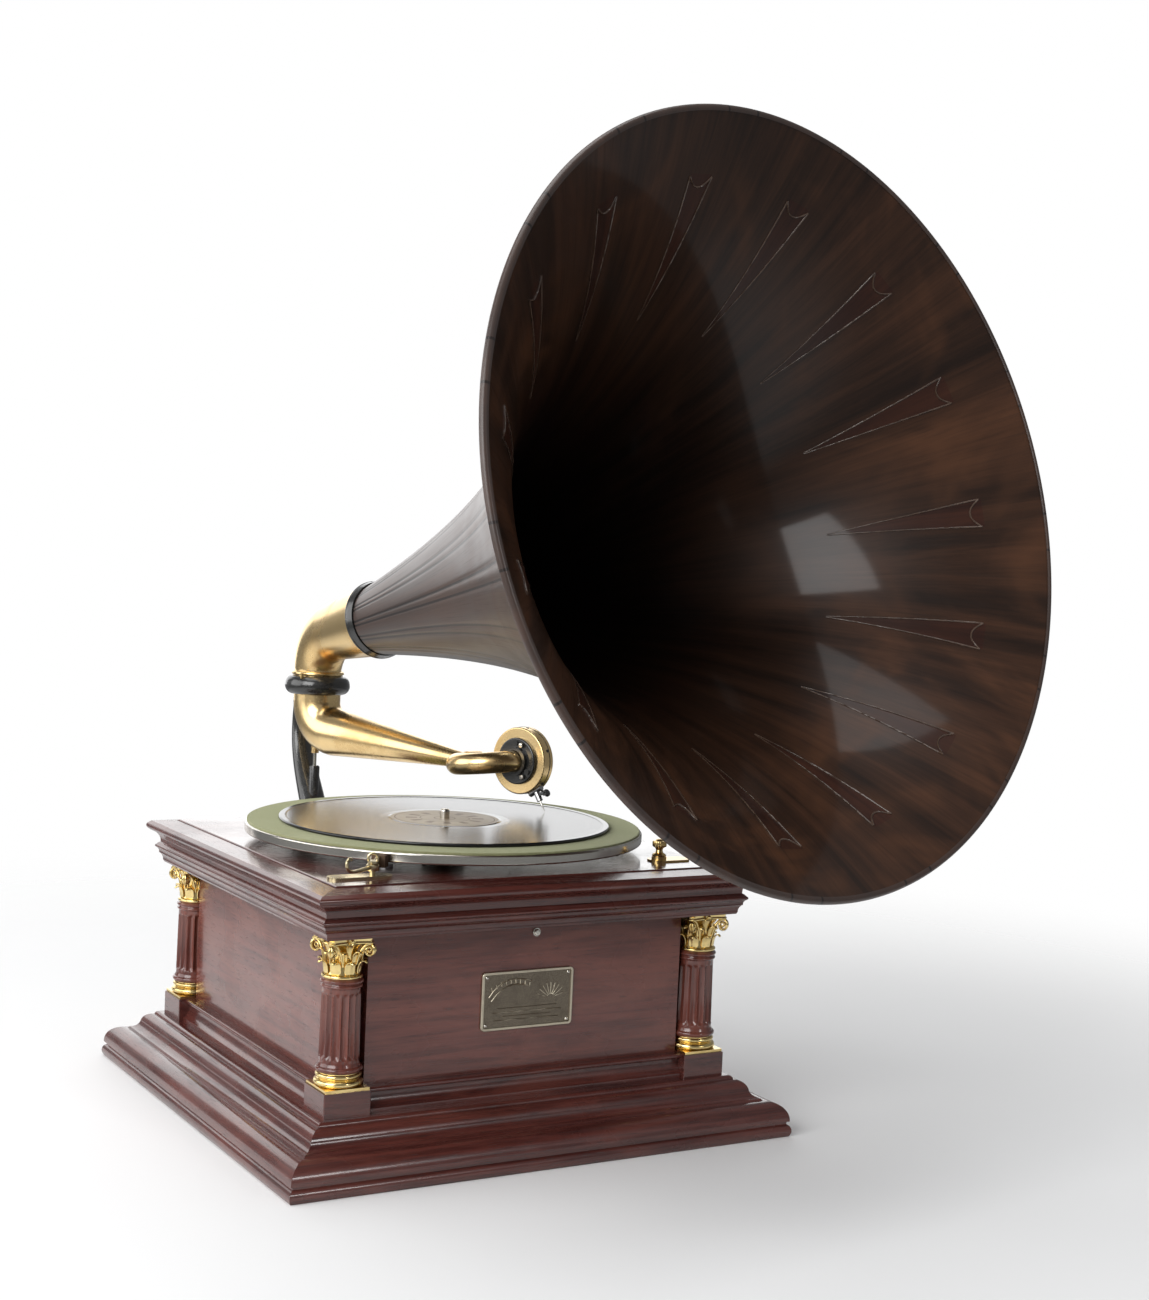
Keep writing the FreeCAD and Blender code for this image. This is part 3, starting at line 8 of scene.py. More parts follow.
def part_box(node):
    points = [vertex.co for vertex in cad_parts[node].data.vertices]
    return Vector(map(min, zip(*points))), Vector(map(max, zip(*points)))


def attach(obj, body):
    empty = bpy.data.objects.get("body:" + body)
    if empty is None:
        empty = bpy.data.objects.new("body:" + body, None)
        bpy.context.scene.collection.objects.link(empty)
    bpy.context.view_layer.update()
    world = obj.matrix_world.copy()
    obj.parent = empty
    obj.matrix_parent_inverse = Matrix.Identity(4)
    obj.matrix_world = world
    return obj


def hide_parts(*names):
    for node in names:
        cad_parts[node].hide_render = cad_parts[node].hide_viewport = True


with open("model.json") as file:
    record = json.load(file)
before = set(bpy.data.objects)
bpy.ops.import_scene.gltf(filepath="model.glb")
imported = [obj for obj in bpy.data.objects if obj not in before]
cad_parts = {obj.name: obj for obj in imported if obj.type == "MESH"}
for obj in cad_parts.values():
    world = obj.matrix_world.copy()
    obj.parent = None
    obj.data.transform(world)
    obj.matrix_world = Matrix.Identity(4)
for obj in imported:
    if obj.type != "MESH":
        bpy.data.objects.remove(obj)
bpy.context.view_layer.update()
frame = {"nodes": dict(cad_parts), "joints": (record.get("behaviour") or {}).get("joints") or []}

# Wind-up phonograph: finishes for every part, and the pieces whose detail is made here.
# Metres.  +Z is up, the front with its name plate faces -Y, and the crank is on the +X side.

# ---------------------------------------------------------------- sizes and places
MM = 0.001
DEGREE = math.radians(1)
Z_AXIS = Vector((0, 0, 1))


def box_middle(node):
    low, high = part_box(node)
    return (low + high) / 2


def joint(name):
    """Place and direction of a joint's axis."""
    found = [j for j in frame["joints"] if j["name"] == name][0]
    return Vector(found["pos_m"]), Vector(found["axis"]).normalized()


def frame_along(origin, axis, side):
    """Matrix that takes +Z to an axis and +X to the nearest square direction to side, at an origin."""
    third = axis.normalized()
    first = (side - third * side.dot(third)).normalized()
    second = third.cross(first)
    turn = Matrix((first, second, third)).transposed().to_4x4()
    return Matrix.Translation(origin) @ turn


def round_z(degrees):
    return Matrix.Rotation(math.radians(degrees), 4, "Z")


# horn, in millimetres: the same flare as the frame's, from the ferrule to the rim
HORN_LENGTH = 493.0
HORN_R = 272.0
HORN_THROAT_R = 29.8
HORN_CONE = 44.5
HORN_FLARE = 2.75
HORN_SKIN = 1.2              # the wood's outside lies this far inside the nominal flare
HORN_WALL = 4.0
FERRULE_MIDDLE = 5.05        # how far the middle of the ferrule lies along the horn from the flare's start
WOOD_START = 0.022           # ends of the wood, as shares of the horn's length
WOOD_END = 0.992
STAVES = 15
STAVE_TURN = 360.0 / STAVES  # degrees taken by one stave with its strip
STRIP_TURN = 6.0             # degrees taken by the narrow strip between two staves
SEAM_COLUMNS = 16            # mesh columns in one stave with its strip
SEAM_WIDTH = 0.9
SEAM_DEPTH = 0.45
SPEAR_TURN = 7.4             # degrees from the top to the first spear
SPEAR_TIP = 0.855            # radii of a spear's broad end and point, as shares of the mouth's
SPEAR_POINT = 0.58
SPEAR_HALF = 10.5            # half the width of the broad end

horn_throat = box_middle("horn_ferrule")
horn_frame = frame_along(horn_throat, box_middle("horn_rim") - horn_throat, Z_AXIS)

# tone arm and sound box: +Z of the box's frame points away from the gooseneck, toward the crank side
swivel_place = joint("tonearm_swing")[0]
box_frame = frame_along(box_middle("soundbox_shell"), -joint("gooseneck_flip")[1], Z_AXIS)

# columns, in millimetres above the floor and from the cabinet's middle
COLUMN_FOOT = 70.0
COLUMN_TOP = 134.0
PEDESTAL_HALF = 17.3
column_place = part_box("column_pedestals")[1].x / MM - PEDESTAL_HALF
corner_spots = [Matrix.Translation((x * column_place * MM, y * column_place * MM, 0))
                for x in (-1, 1) for y in (-1, 1)]


# ---------------------------------------------------------------- materials
class Value:
    """A socket inside a finish.  Sums and products of it add the nodes that work them out."""

    def __init__(self, finish, socket):
        self.finish = finish
        self.socket = socket

    def math(self, operation, *others):
        return self.finish.node("ShaderNodeMath", {"operation": operation}, *others)

    def __add__(self, other):
        return self.math("ADD", self, other)

    def __radd__(self, other):
        return self.math("ADD", other, self)

    def __sub__(self, other):
        return self.math("SUBTRACT", self, other)

    def __rsub__(self, other):
        return self.math("SUBTRACT", other, self)

    def __mul__(self, other):
        return self.math("MULTIPLY", self, other)

    def __rmul__(self, other):
        return self.math("MULTIPLY", other, self)

    def __truediv__(self, other):
        return self.math("DIVIDE", self, other)

    def __pow__(self, other):
        return self.math("POWER", self, other)

    def __gt__(self, other):
        return self.math("GREATER_THAN", self, other)

    def __lt__(self, other):
        return self.math("LESS_THAN", self, other)

    def size(self):
        return self.math("ABSOLUTE", self)

    def part(self):
        return self.math("FRACT", self)

    def whole(self):
        return self.math("FLOOR", self)

    def sine(self):
        return self.math("SINE", self)

    def larger(self, other):
        return self.math("MAXIMUM", self, other)

    def smaller(self, other):
        return self.math("MINIMUM", self, other)

    def turn(self, other):
        return self.math("ARCTAN2", self, other)

    def ramp(self, low, high):
        """0 up to low, 1 from high, smooth between."""
        settings = {"interpolation_type": "SMOOTHSTEP"}
        return self.finish.node("ShaderNodeMapRange", settings, self, low, high, 0.0, 1.0)

    def within(self, low, high, edge):
        """1 from low to high and 0 outside, with a soft edge."""
        return self.ramp(low, low + edge) * (1 - self.ramp(high, high + edge))


class Finish:
    """A procedural material on one Principled shader."""

    def __init__(self, name, **constants):
        self.material = bpy.data.materials.new(name)
        self.material.use_nodes = True
        self.nodes = self.material.node_tree.nodes
        self.links = self.material.node_tree.links
        self.nodes.clear()
        output = self.nodes.new("ShaderNodeOutputMaterial")
        self.shader = self.nodes.new("ShaderNodeBsdfPrincipled")
        self.links.new(self.shader.outputs[0], output.inputs[0])
        for socket, value in constants.items():
            self.shader.inputs[socket.replace("_", " ")].default_value = value

    def feed(self, socket, value):
        if isinstance(value, Value):
            self.links.new(value.socket, socket)
        elif value is not None:
            socket.default_value = value

    def node(self, kind, settings, *inputs, output=0, **named):
        made = self.nodes.new(kind)
        for key, value in settings.items():
            if key == "stops":
                ramp = made.color_ramp
                while len(ramp.elements) < len(value):
                    ramp.elements.new(0.5)
                for element, (place, colour) in zip(ramp.elements, value):
                    element.position = place
                    element.color = colour
            else:
                setattr(made, key, value)
        for socket, value in zip(made.inputs, inputs):
            self.feed(socket, value)
        for key, value in named.items():
            self.feed(made.inputs[key.replace("_", " ")], value)
        return Value(self, made.outputs[output])

    def place(self):
        return self.node("ShaderNodeTexCoord", {}, output="Object")

    def split(self, vector):
        first = self.node("ShaderNodeSeparateXYZ", {}, vector, output=0)
        outputs = first.socket.node.outputs
        return Value(self, outputs[0]), Value(self, outputs[1]), Value(self, outputs[2])

    def join(self, x, y, z):
        return self.node("ShaderNodeCombineXYZ", {}, x, y, z)

    def laid(self, vector, matrix):
        """The vector as measured in a piece's own frame."""
        back = matrix.inverted()
        move = back.to_translation()
        turn = back.to_euler()
        return self.node("ShaderNodeMapping", {"vector_type": "POINT"},
                         vector, tuple(move), tuple(turn), (1, 1, 1))

    def noise(self, vector, scale, detail=3.0, rough=0.5, warp=0.0):
        return self.node("ShaderNodeTexNoise", {}, Vector=vector, Scale=scale, Detail=detail, Roughness=rough,
                         Distortion=warp, output="Fac")

    def cells(self, vector, scale, feature="F1"):
        return self.node("ShaderNodeTexVoronoi", {"feature": feature}, Vector=vector, Scale=scale,
                         output="Distance")

    def scatter(self, vector):
        return self.node("ShaderNodeTexWhiteNoise", {"noise_dimensions": "3D"}, vector, output="Value")

    def mix(self, factor, first, second):
        made = self.nodes.new("ShaderNodeMix")
        made.data_type = "RGBA"
        self.feed(made.inputs[0], factor)
        self.feed(made.inputs[6], first)
        self.feed(made.inputs[7], second)
        return Value(self, made.outputs[2])

    def colour(self, value):
        self.feed(self.shader.inputs["Base Color"], value)

    def rough(self, value):
        self.feed(self.shader.inputs["Roughness"], value)

    def bump(self, height, depth, strength):
        normal = self.node("ShaderNodeBump", {}, Strength=strength, Distance=depth, Height=height)
        self.feed(self.shader.inputs["Normal"], normal)


def rgb(r, g, b):
    return (r, g, b, 1.0)


def scaled(colour, share):
    r, g, b = colour[:3]
    return rgb(share * r, share * g, share * b)


def wood_figure(finish, grain):
    """Streaks, figure and pores of mahogany; the first part of the place, in metres, runs with the grain."""
    along, across, deep = finish.split(grain)
    streak_place = finish.join(along * 9.0, across * 190.0, deep * 190.0)
    figure_place = finish.join(along * 7.0, across * 26.0, deep * 26.0)
    pore_place = finish.join(along * 70.0, across * 1500.0, deep * 1500.0)
    streaks = finish.noise(streak_place, 1.0, 5.0, 0.62, 0.6)
    figure = finish.noise(figure_place, 1.0, 3.0, 0.55, 1.4)
    pores = finish.noise(pore_place, 1.0, 1.0, 0.4).ramp(0.60, 0.70)
    return streaks, figure, pores


def mahogany(name, run, dark, mid, light, gloss=0.20):
    """French-polished mahogany.  run is x, y or z, or mitre for mouldings that run round the cabinet."""
    finish = Finish(name, Coat_Weight=0.55, Coat_Roughness=0.10, Coat_IOR=1.5, Specular_IOR_Level=0.5)
    place = finish.place()
    x, y, z = finish.split(place)
    if run == "x":
        grain = finish.join(x, y, z)
    elif run == "y":
        grain = finish.join(y, x, z)
    elif run == "z":
        grain = finish.join(z, x, y)
    else:
        side = x.size() > y.size()
        front = 1 - side
        grain = finish.join(x * front + y * side, y * front + x * side + 0.3 * side, z)
    streaks, figure, pores = wood_figure(finish, grain)
    base = finish.mix(streaks.ramp(0.34, 0.66), dark, mid)
    base = finish.mix(figure.ramp(0.40, 0.75) * 0.65, base, light)
    base = finish.mix(pores * 0.55, base, scaled(dark, 0.35))
    finish.colour(base)
    wear = finish.noise(place, 14.0, 4.0, 0.6)
    finish.rough(gloss + 0.14 * wear.ramp(0.4, 0.7) + 0.10 * pores)
    finish.bump(streaks * 0.25 - pores * 0.8, 0.00005, 0.30)
    return finish.material


def horn_mahogany(name, lining):
    """Dark laminated horn wood whose grain runs from the throat to the mouth.

    Outside, seams part the staves from the narrow strips.  The lining is darkened toward the throat by
    painted shade, and the wood inside each spear is redder.
    """
    if lining:
        finish = Finish(name, Coat_Weight=0.35, Coat_Roughness=0.08, Coat_IOR=1.5, Specular_IOR_Level=0.20)
    else:
        finish = Finish(name, Coat_Weight=0.35, Coat_Roughness=0.26, Coat_IOR=1.5, Specular_IOR_Level=0.4)
    own = finish.laid(finish.place(), horn_frame)
    x, y, z = finish.split(own)
    radius = (x * x + y * y) ** 0.5
    turn = y.turn(x) * (1 / DEGREE) + 360.0
    streaks = finish.noise(finish.join(z * 5.0, x / radius * 11.0, y / radius * 11.0), 1.0, 7.0, 0.68, 0.35)
    fine = finish.noise(finish.join(z * 26.0, x / radius * 90.0, y / radius * 90.0), 1.0, 3.0, 0.6)
    figure = finish.noise(finish.join(x * 7.0, y * 7.0, z * 4.0), 1.0, 3.0, 0.6, 1.6)
    base = finish.mix(streaks.ramp(0.30, 0.74), rgb(0.016, 0.0080, 0.0050), rgb(0.068, 0.029, 0.015))
    base = finish.mix(figure.ramp(0.44, 0.74) * 0.55, base, rgb(0.150, 0.058, 0.024))
    base = finish.mix(fine.ramp(0.45, 0.75) * 0.30, base, rgb(0.020, 0.010, 0.006))
    if lining:
        beside = (((turn - SPEAR_TURN) / STAVE_TURN).part() - 0.5).size()
        off_line = (0.5 - beside) * STAVE_TURN * radius * DEGREE
        reach = (radius - HORN_R * SPEAR_POINT * MM) * (1 / (HORN_R * (SPEAR_TIP - SPEAR_POINT) * MM))
        inlay = (off_line < reach * SPEAR_HALF * MM) * (reach < 0.97) * (reach > 0.0)
        red = finish.mix(streaks.ramp(0.3, 0.7), rgb(0.022, 0.006, 0.004), rgb(0.060, 0.016, 0.009))
        base = finish.mix(inlay * 0.6, base, red)
        # painted shade: the lining's colour is darkened to near black toward the throat, deep in the horn
        shade = radius.ramp(0.05, 0.20)
        base = finish.mix(1 - shade, base, rgb(0.0035, 0.0022, 0.0020))
        relief = streaks * 0.5 + fine * 0.5 - inlay * 0.6
    else:
        inside = (turn / STAVE_TURN).part() * STAVE_TURN
        tone = finish.scatter(finish.join((turn / STAVE_TURN).whole(), (inside < STRIP_TURN) * 3.0, 0.0))
        base = finish.mix(0.55, base, rgb(0.085, 0.060, 0.052))
        base = finish.mix(tone * 0.30, base, rgb(0.030, 0.016, 0.013))
        first = (inside * radius * DEGREE) < SEAM_WIDTH * MM
        last = ((STAVE_TURN - inside) * radius * DEGREE) < SEAM_WIDTH * MM
        strip = ((inside - STRIP_TURN).size() * radius * DEGREE) < SEAM_WIDTH * MM
        seam = first.larger(last).larger(strip)
        base = finish.mix(seam * 0.8, base, rgb(0.004, 0.002, 0.0015))
        relief = streaks * 0.5 + fine * 0.5 - seam
    finish.colour(base)
    finish.rough((0.30 if lining else 0.34) + 0.16 * figure.ramp(0.3, 0.8) + 0.10 * fine.ramp(0.5, 0.8))
    finish.bump(relief, 0.0002, 0.20)
    return finish.material


def gilt(name, high, low, rough):
    """Lacquered gold plate, a little worn and browned."""
    finish = Finish(name, Metallic=1.0, Coat_Weight=0.15, Coat_Roughness=0.2)
    place = finish.place()
    cloud = finish.noise(place, 26.0, 4.0, 0.6, 0.4)
    spots = finish.cells(place, 420.0).ramp(0.0, 0.16)
    scratch = finish.noise(place, 900.0, 3.0, 0.7)
    base = finish.mix(cloud.ramp(0.42, 0.78), high, low)
    base = finish.mix((1 - spots) * 0.35, base, rgb(0.26, 0.13, 0.04))
    finish.colour(base)
    finish.rough(rough + 0.16 * cloud.ramp(0.45, 0.8) + 0.08 * scratch)
    finish.bump(cloud * 0.6 + scratch * 0.06, 0.00025, 0.30)
    return finish.material


def plated(name, tone, rough=0.14, tarnish=rgb(0.30, 0.27, 0.22)):
    """Nickel, steel or brass with fine polishing marks and a little tarnish."""
    finish = Finish(name, Metallic=1.0)
    place = finish.place()
    cloud = finish.noise(place, 34.0, 4.0, 0.62, 0.5)
    marks = finish.noise(place, 1300.0, 2.0, 0.6)
    base = finish.mix(cloud.ramp(0.48, 0.80) * 0.6, tone, tarnish)
    finish.colour(base)
    finish.rough(rough + 0.18 * cloud.ramp(0.5, 0.8) + 0.06 * marks)
    finish.bump(marks + cloud, 0.00006, 0.25)
    return finish.material


def japanned(name, tone, rough):
    """Black enamel on cast iron: glossy, with an orange-peel surface and dust in it."""
    finish = Finish(name, Coat_Weight=0.5, Coat_Roughness=0.12, Specular_IOR_Level=0.55)
    place = finish.place()
    peel = finish.noise(place, 260.0, 2.0, 0.5)
    dust = finish.noise(place, 2100.0, 1.0, 0.5).ramp(0.70, 0.80)
    base = finish.mix(peel.ramp(0.4, 0.7), tone, scaled(tone, 1.3))
    finish.colour(finish.mix(dust * 0.2, base, rgb(0.10, 0.095, 0.085)))
    finish.rough(rough + 0.05 * peel.ramp(0.35, 0.75) + 0.15 * dust)
    finish.bump(peel, 0.00002, 0.2)
    return finish.material


def felt(name):
    """Moss-green baize: short tangled hairs, a little faded and dusty."""
    finish = Finish(name, Sheen_Weight=0.45, Sheen_Roughness=0.5, Sheen_Tint=rgb(0.80, 0.85, 0.60),
                    Specular_IOR_Level=0.2)
    place = finish.place()
    hairs = finish.noise(place, 900.0, 5.0, 0.75, 2.2)
    tufts = finish.noise(place, 260.0, 3.0, 0.6, 0.8)
    fade = finish.noise(place, 11.0, 3.0, 0.6)
    base = finish.mix(hairs.ramp(0.34, 0.70), rgb(0.165, 0.170, 0.080), rgb(0.370, 0.365, 0.200))
    base = finish.mix(tufts.ramp(0.5, 0.75) * 0.5, base, rgb(0.250, 0.270, 0.130))
    base = finish.mix(fade.ramp(0.45, 0.8) * 0.4, base, rgb(0.430, 0.420, 0.270))
    finish.colour(base)
    finish.rough(0.86 + 0.12 * hairs)
    finish.bump(hairs + 0.6 * tufts, 0.0005, 0.7)
    return finish.material


# record, in metres from its middle
GROOVE_PITCH = 0.0011        # coarser than the real grooves, which would be too fine to show
GROOVES_IN_R = 0.0500
GROOVES_OUT_R = 0.1225
LABEL_R = 0.0415
LABEL_RINGS = ((0.0385, 0.0004), (0.0190, 0.0003), (0.0080, 0.0004))   # radius and half width
RAYS_IN_R = 0.0212
RAYS_OUT_R = 0.0300


def shellac(name):
    """Record: black shellac with a band of grooves, louder and softer in rings, and a paper label."""
    finish = Finish(name, Specular_IOR_Level=0.45, Coat_Weight=0.1, Coat_Roughness=0.18)
    middle = box_middle("record_disc")
    place = finish.laid(finish.place(), Matrix.Translation(Vector((middle.x, middle.y, 0))))
    x, y, z = finish.split(place)
    radius = (x * x + y * y) ** 0.5
    waver = finish.noise(place, 30.0, 2.0, 0.5)
    groove = (radius * (2 * math.pi / GROOVE_PITCH)).sine() * 0.5 + 0.5
    loud = finish.noise(finish.join(radius * 420.0, 0.0, 0.0), 1.0, 4.0, 0.75)
    grooved = radius.within(GROOVES_IN_R, GROOVES_OUT_R, 0.0002)
    label = 1 - radius.ramp(LABEL_R, LABEL_R + 0.0003)
    rings = [(radius - ring_r).size() < half for ring_r, half in LABEL_RINGS]
    line = sum(rings[1:], rings[0])
    rays = ((y.turn(x) * 12.0).sine() > 0.35) * radius.within(RAYS_IN_R, RAYS_OUT_R, 0.0002)
    black = finish.mix(loud.ramp(0.3, 0.7) * grooved, rgb(0.011, 0.011, 0.012), rgb(0.030, 0.029, 0.029))
    paper = finish.mix(waver.ramp(0.35, 0.7), rgb(0.34, 0.27, 0.19), rgb(0.42, 0.35, 0.25))
    paper = finish.mix((line + rays * 0.75).smaller(1.0), paper, rgb(0.10, 0.055, 0.03))
    finish.colour(finish.mix(label, black, paper))
    dust = finish.noise(place, 1600.0, 1.0, 0.5).ramp(0.60, 0.72)
    finish.rough(0.15 + 0.12 * loud * grooved + 0.30 * label + 0.14 * dust)
    finish.bump(groove * grooved * 0.5 + loud * grooved * 0.5 - label * 0.3, 0.000012, 0.5)
    return finish.material


def bronze_plate(name):
    """Patinated plate: a dark stippled field with darker clouds."""
    finish = Finish(name, Metallic=1.0, Coat_Weight=0.2, Coat_Roughness=0.25)
    place = finish.place()
    stipple = finish.noise(place, 1700.0, 3.0, 0.7)
    cloud = finish.noise(place, 60.0, 4.0, 0.6)
    base = finish.mix(stipple.ramp(0.35, 0.65), rgb(0.140, 0.115, 0.085), rgb(0.270, 0.230, 0.175))
    base = finish.mix(cloud.ramp(0.45, 0.75) * 0.5, base, rgb(0.090, 0.072, 0.052))
    finish.colour(base)
    finish.rough(0.34 + 0.2 * stipple)
    finish.bump(stipple + cloud, 0.00012, 0.5)
    return finish.material


def worn_leather(name):
    """Brown leather with a fine grain, rubbed lighter in places."""
    finish = Finish(name, Specular_IOR_Level=0.3)
    place = finish.place()
    grain = finish.cells(place, 900.0, "DISTANCE_TO_EDGE")
    cloud = finish.noise(place, 70.0, 4.0, 0.6)
    finish.colour(finish.mix(cloud.ramp(0.35, 0.7), rgb(0.075, 0.045, 0.028), rgb(0.150, 0.095, 0.060)))
    finish.rough(0.62 + 0.25 * cloud)
    finish.bump(grain.ramp(0.0, 0.12), 0.0003, 0.6)
    return finish.material


def mica(name):
    """Split mica with faint flakes in it."""
    finish = Finish(name, IOR=1.56, Coat_Weight=0.6, Coat_Roughness=0.05, Transmission_Weight=0.35)
    place = finish.place()
    flake = finish.noise(place, 180.0, 4.0, 0.6, 1.5)
    base = finish.mix(flake.ramp(0.4, 0.65), rgb(0.46, 0.42, 0.33), rgb(0.66, 0.63, 0.54))
    finish.colour(base)
    finish.rough(0.10 + 0.22 * flake)
    finish.bump(flake, 0.0002, 0.4)
    return finish.material


def studio_floor(name):
    """Pale floor that fades out at its edge."""
    finish = Finish(name, Roughness=0.7, Specular_IOR_Level=0.1)
    place = finish.place()
    x, y, z = finish.split(place)
    cloud = finish.noise(place, 3.0, 3.0, 0.5)
    finish.colour(finish.mix(cloud, rgb(0.90, 0.90, 0.90), rgb(0.93, 0.93, 0.93)))
    finish.feed(finish.shader.inputs["Alpha"], 1 - ((x * x + y * y) ** 0.5).ramp(0.45, 1.25))
    return finish.material


RED_DARK = rgb(0.078, 0.0190, 0.0140)
RED_MID = rgb(0.150, 0.0400, 0.0290)
RED_LIGHT = rgb(0.205, 0.0640, 0.0430)
BROWN_DARK = rgb(0.048, 0.0120, 0.0100)
BROWN_MID = rgb(0.105, 0.0280, 0.0220)
BROWN_LIGHT = rgb(0.150, 0.0450, 0.0330)

panel_x = mahogany("mahogany_front", "x", RED_DARK, RED_MID, RED_LIGHT)
panel_y = mahogany("mahogany_side", "y", RED_DARK, RED_MID, RED_LIGHT)
moulded = mahogany("mahogany_moulding", "mitre", BROWN_DARK, BROWN_MID, BROWN_LIGHT)
upright = mahogany("mahogany_column", "z", RED_DARK, RED_MID, RED_LIGHT, 0.16)
board_wood = mahogany("mahogany_board", "x", BROWN_DARK, BROWN_MID, BROWN_LIGHT, 0.14)
grip_wood = mahogany("dark_grip_wood", "x", BROWN_DARK, BROWN_MID, BROWN_LIGHT, 0.22)
horn_wood = horn_mahogany("horn_mahogany", False)
horn_lining = horn_mahogany("horn_lining", True)
gold = gilt("gilt", rgb(0.90, 0.66, 0.33), rgb(0.66, 0.43, 0.17), 0.20)
rich_gold = gilt("gilt_ornament", rgb(0.86, 0.67, 0.30), rgb(0.50, 0.35, 0.12), 0.16)
nickel = plated("nickel_plate", rgb(0.66, 0.63, 0.57))
steel = plated("machined_steel", rgb(0.46, 0.46, 0.46), 0.26)
blue_steel = plated("spring_steel", rgb(0.26, 0.28, 0.33), 0.24)
brass = plated("turned_brass", rgb(0.66, 0.47, 0.20), 0.20, rgb(0.30, 0.18, 0.06))
enamel = japanned("black_enamel", rgb(0.020, 0.020, 0.019), 0.22)
motor_iron = japanned("motor_iron", rgb(0.020, 0.021, 0.020), 0.35)
baize = felt("green_baize")
record_face = shellac("shellac_record")
plate_metal = bronze_plate("etched_plate")
plate_border = plated("plate_border", rgb(0.60, 0.54, 0.42), 0.30, rgb(0.30, 0.26, 0.18))
# the spear lines' pale wood is partly their own colour and partly a painted highlight for the light their
# edges catch
spear_line = mahogany("spear_line", "z", rgb(0.070, 0.042, 0.030), rgb(0.115, 0.072, 0.050),
                      rgb(0.17, 0.11, 0.08), 0.16)
pale_brass = plated("pale_brass", rgb(0.68, 0.58, 0.36), 0.22, rgb(0.34, 0.25, 0.12))
pad_leather = worn_leather("brake_leather")
mica_sheet = mica("mica_sheet")

NODE_FINISHES = (
    (board_wood, ("bottom_board", "motor_board")),
    (moulded, ("base_moulding", "inner_base_moulding", "column_pedestals", "cornice_moulding")),
    (panel_x, ("front_panel", "back_panel")),
    (panel_y, ("left_panel", "right_panel")),
    (upright, ("corner_posts", "column_shafts")),
    (grip_wood, ("crank_knob",)),
    (horn_wood, ("horn_bell", "horn_rim")),
    (rich_gold, ("column_bases", "column_capitals")),
    (gold, ("elbow", "tone_arm", "gooseneck", "soundbox_shell")),
    (nickel, ("name_plate_pins", "front_button", "crank_escutcheon", "crank_shaft", "crank_arm", "needle",
              "turntable_platter", "turntable_spindle", "arm_pivot_pin")),
    (steel, ("motor_bolts", "spring_barrel", "barrel_arbor", "intermediate_arbor", "governor_shaft",
             "speed_lever", "stylus_bar")),
    (blue_steel, ("clutch_spring", "mainsprings")),
    (brass, ("spindle_bearing", "great_gear", "face_gear", "governor_weights", "bracket_screws", "speed_dial",
             "speed_knob")),
    (pale_brass, ("brake_plate", "brake_lever")),
    (plate_metal, ("name_plate",)),
    (enamel, ("back_bracket", "horn_ferrule", "soundbox_back", "needle_screw")),
    (motor_iron, ("motor_top_plate", "motor_frame_plates")),
    (baize, ("turntable_felt",)),
    (record_face, ("record_disc",)),
    (mica_sheet, ("diaphragm",)),
    (pad_leather, ("brake_pad",)),
)


def give_finish(part, material):
    part.data.materials.clear()
    part.data.materials.append(material)
    for face in part.data.polygons:
        face.material_index = 0


for node_finish, node_names in NODE_FINISHES:
    for node_name in node_names:
        give_finish(frame["nodes"][node_name], node_finish)


# ---------------------------------------------------------------- modelling helpers
def deselect():
    if bpy.context.object and bpy.context.object.mode != "OBJECT":
        bpy.ops.object.mode_set(mode="OBJECT")
    bpy.ops.object.select_all(action="DESELECT")


def use(piece):
    deselect()
    bpy.context.view_layer.objects.active = piece
    piece.select_set(True)


def edit(piece):
    use(piece)
    bpy.ops.object.mode_set(mode="EDIT")


def pick(test, kind="verts"):
    """Selects the vertices or faces of the piece in hand whose place passes a test."""
    piece = bpy.context.edit_object
    mesh = bmesh.from_edit_mesh(piece.data)
    bpy.ops.mesh.select_mode(type="VERT" if kind == "verts" else "FACE")
    bpy.ops.mesh.select_all(action="DESELECT")
    if kind == "verts":
        for vert in mesh.verts:
            vert.select_set(test(vert.co))
    else:
        for face in mesh.faces:
            face.select_set(test(face.calc_center_median(), face.normal))
    mesh.select_flush_mode()
    bmesh.update_edit_mesh(piece.data)


def pick_edges(test):
    """Selects the edges of the piece in hand that pass a test of their run and length."""
    mesh = bmesh.from_edit_mesh(bpy.context.edit_object.data)
    bpy.ops.mesh.select_all(action="DESELECT")
    for edge in mesh.edges:
        edge.select_set(test(edge.verts[1].co - edge.verts[0].co))
    bmesh.update_edit_mesh(bpy.context.edit_object.data)


def tidy(piece, smooth):
    """Merges doubles, turns the faces outward and shades the piece smooth up to an angle."""
    edit(piece)
    bpy.ops.mesh.select_all(action="SELECT")
    bpy.ops.mesh.remove_doubles(threshold=0.01 * MM)
    bpy.ops.mesh.normals_make_consistent(inside=False)
    bpy.ops.object.mode_set(mode="OBJECT")
    bpy.ops.object.shade_smooth_by_angle(angle=math.radians(smooth))
    return piece


def settle(piece, matrix=Matrix.Identity(4)):
    """Puts a piece in place and leaves its object at the origin, unturned."""
    bpy.context.view_layer.update()
    piece.matrix_world = matrix @ piece.matrix_world
    use(piece)
    bpy.ops.object.transform_apply(location=True, rotation=True, scale=True)
    return piece


def modify(piece, kind, **settings):
    use(piece)
    modifier = piece.modifiers.new(kind.lower(), kind)
    for key, value in settings.items():
        setattr(modifier, key, value)
    bpy.ops.object.modifier_apply(modifier=modifier.name)


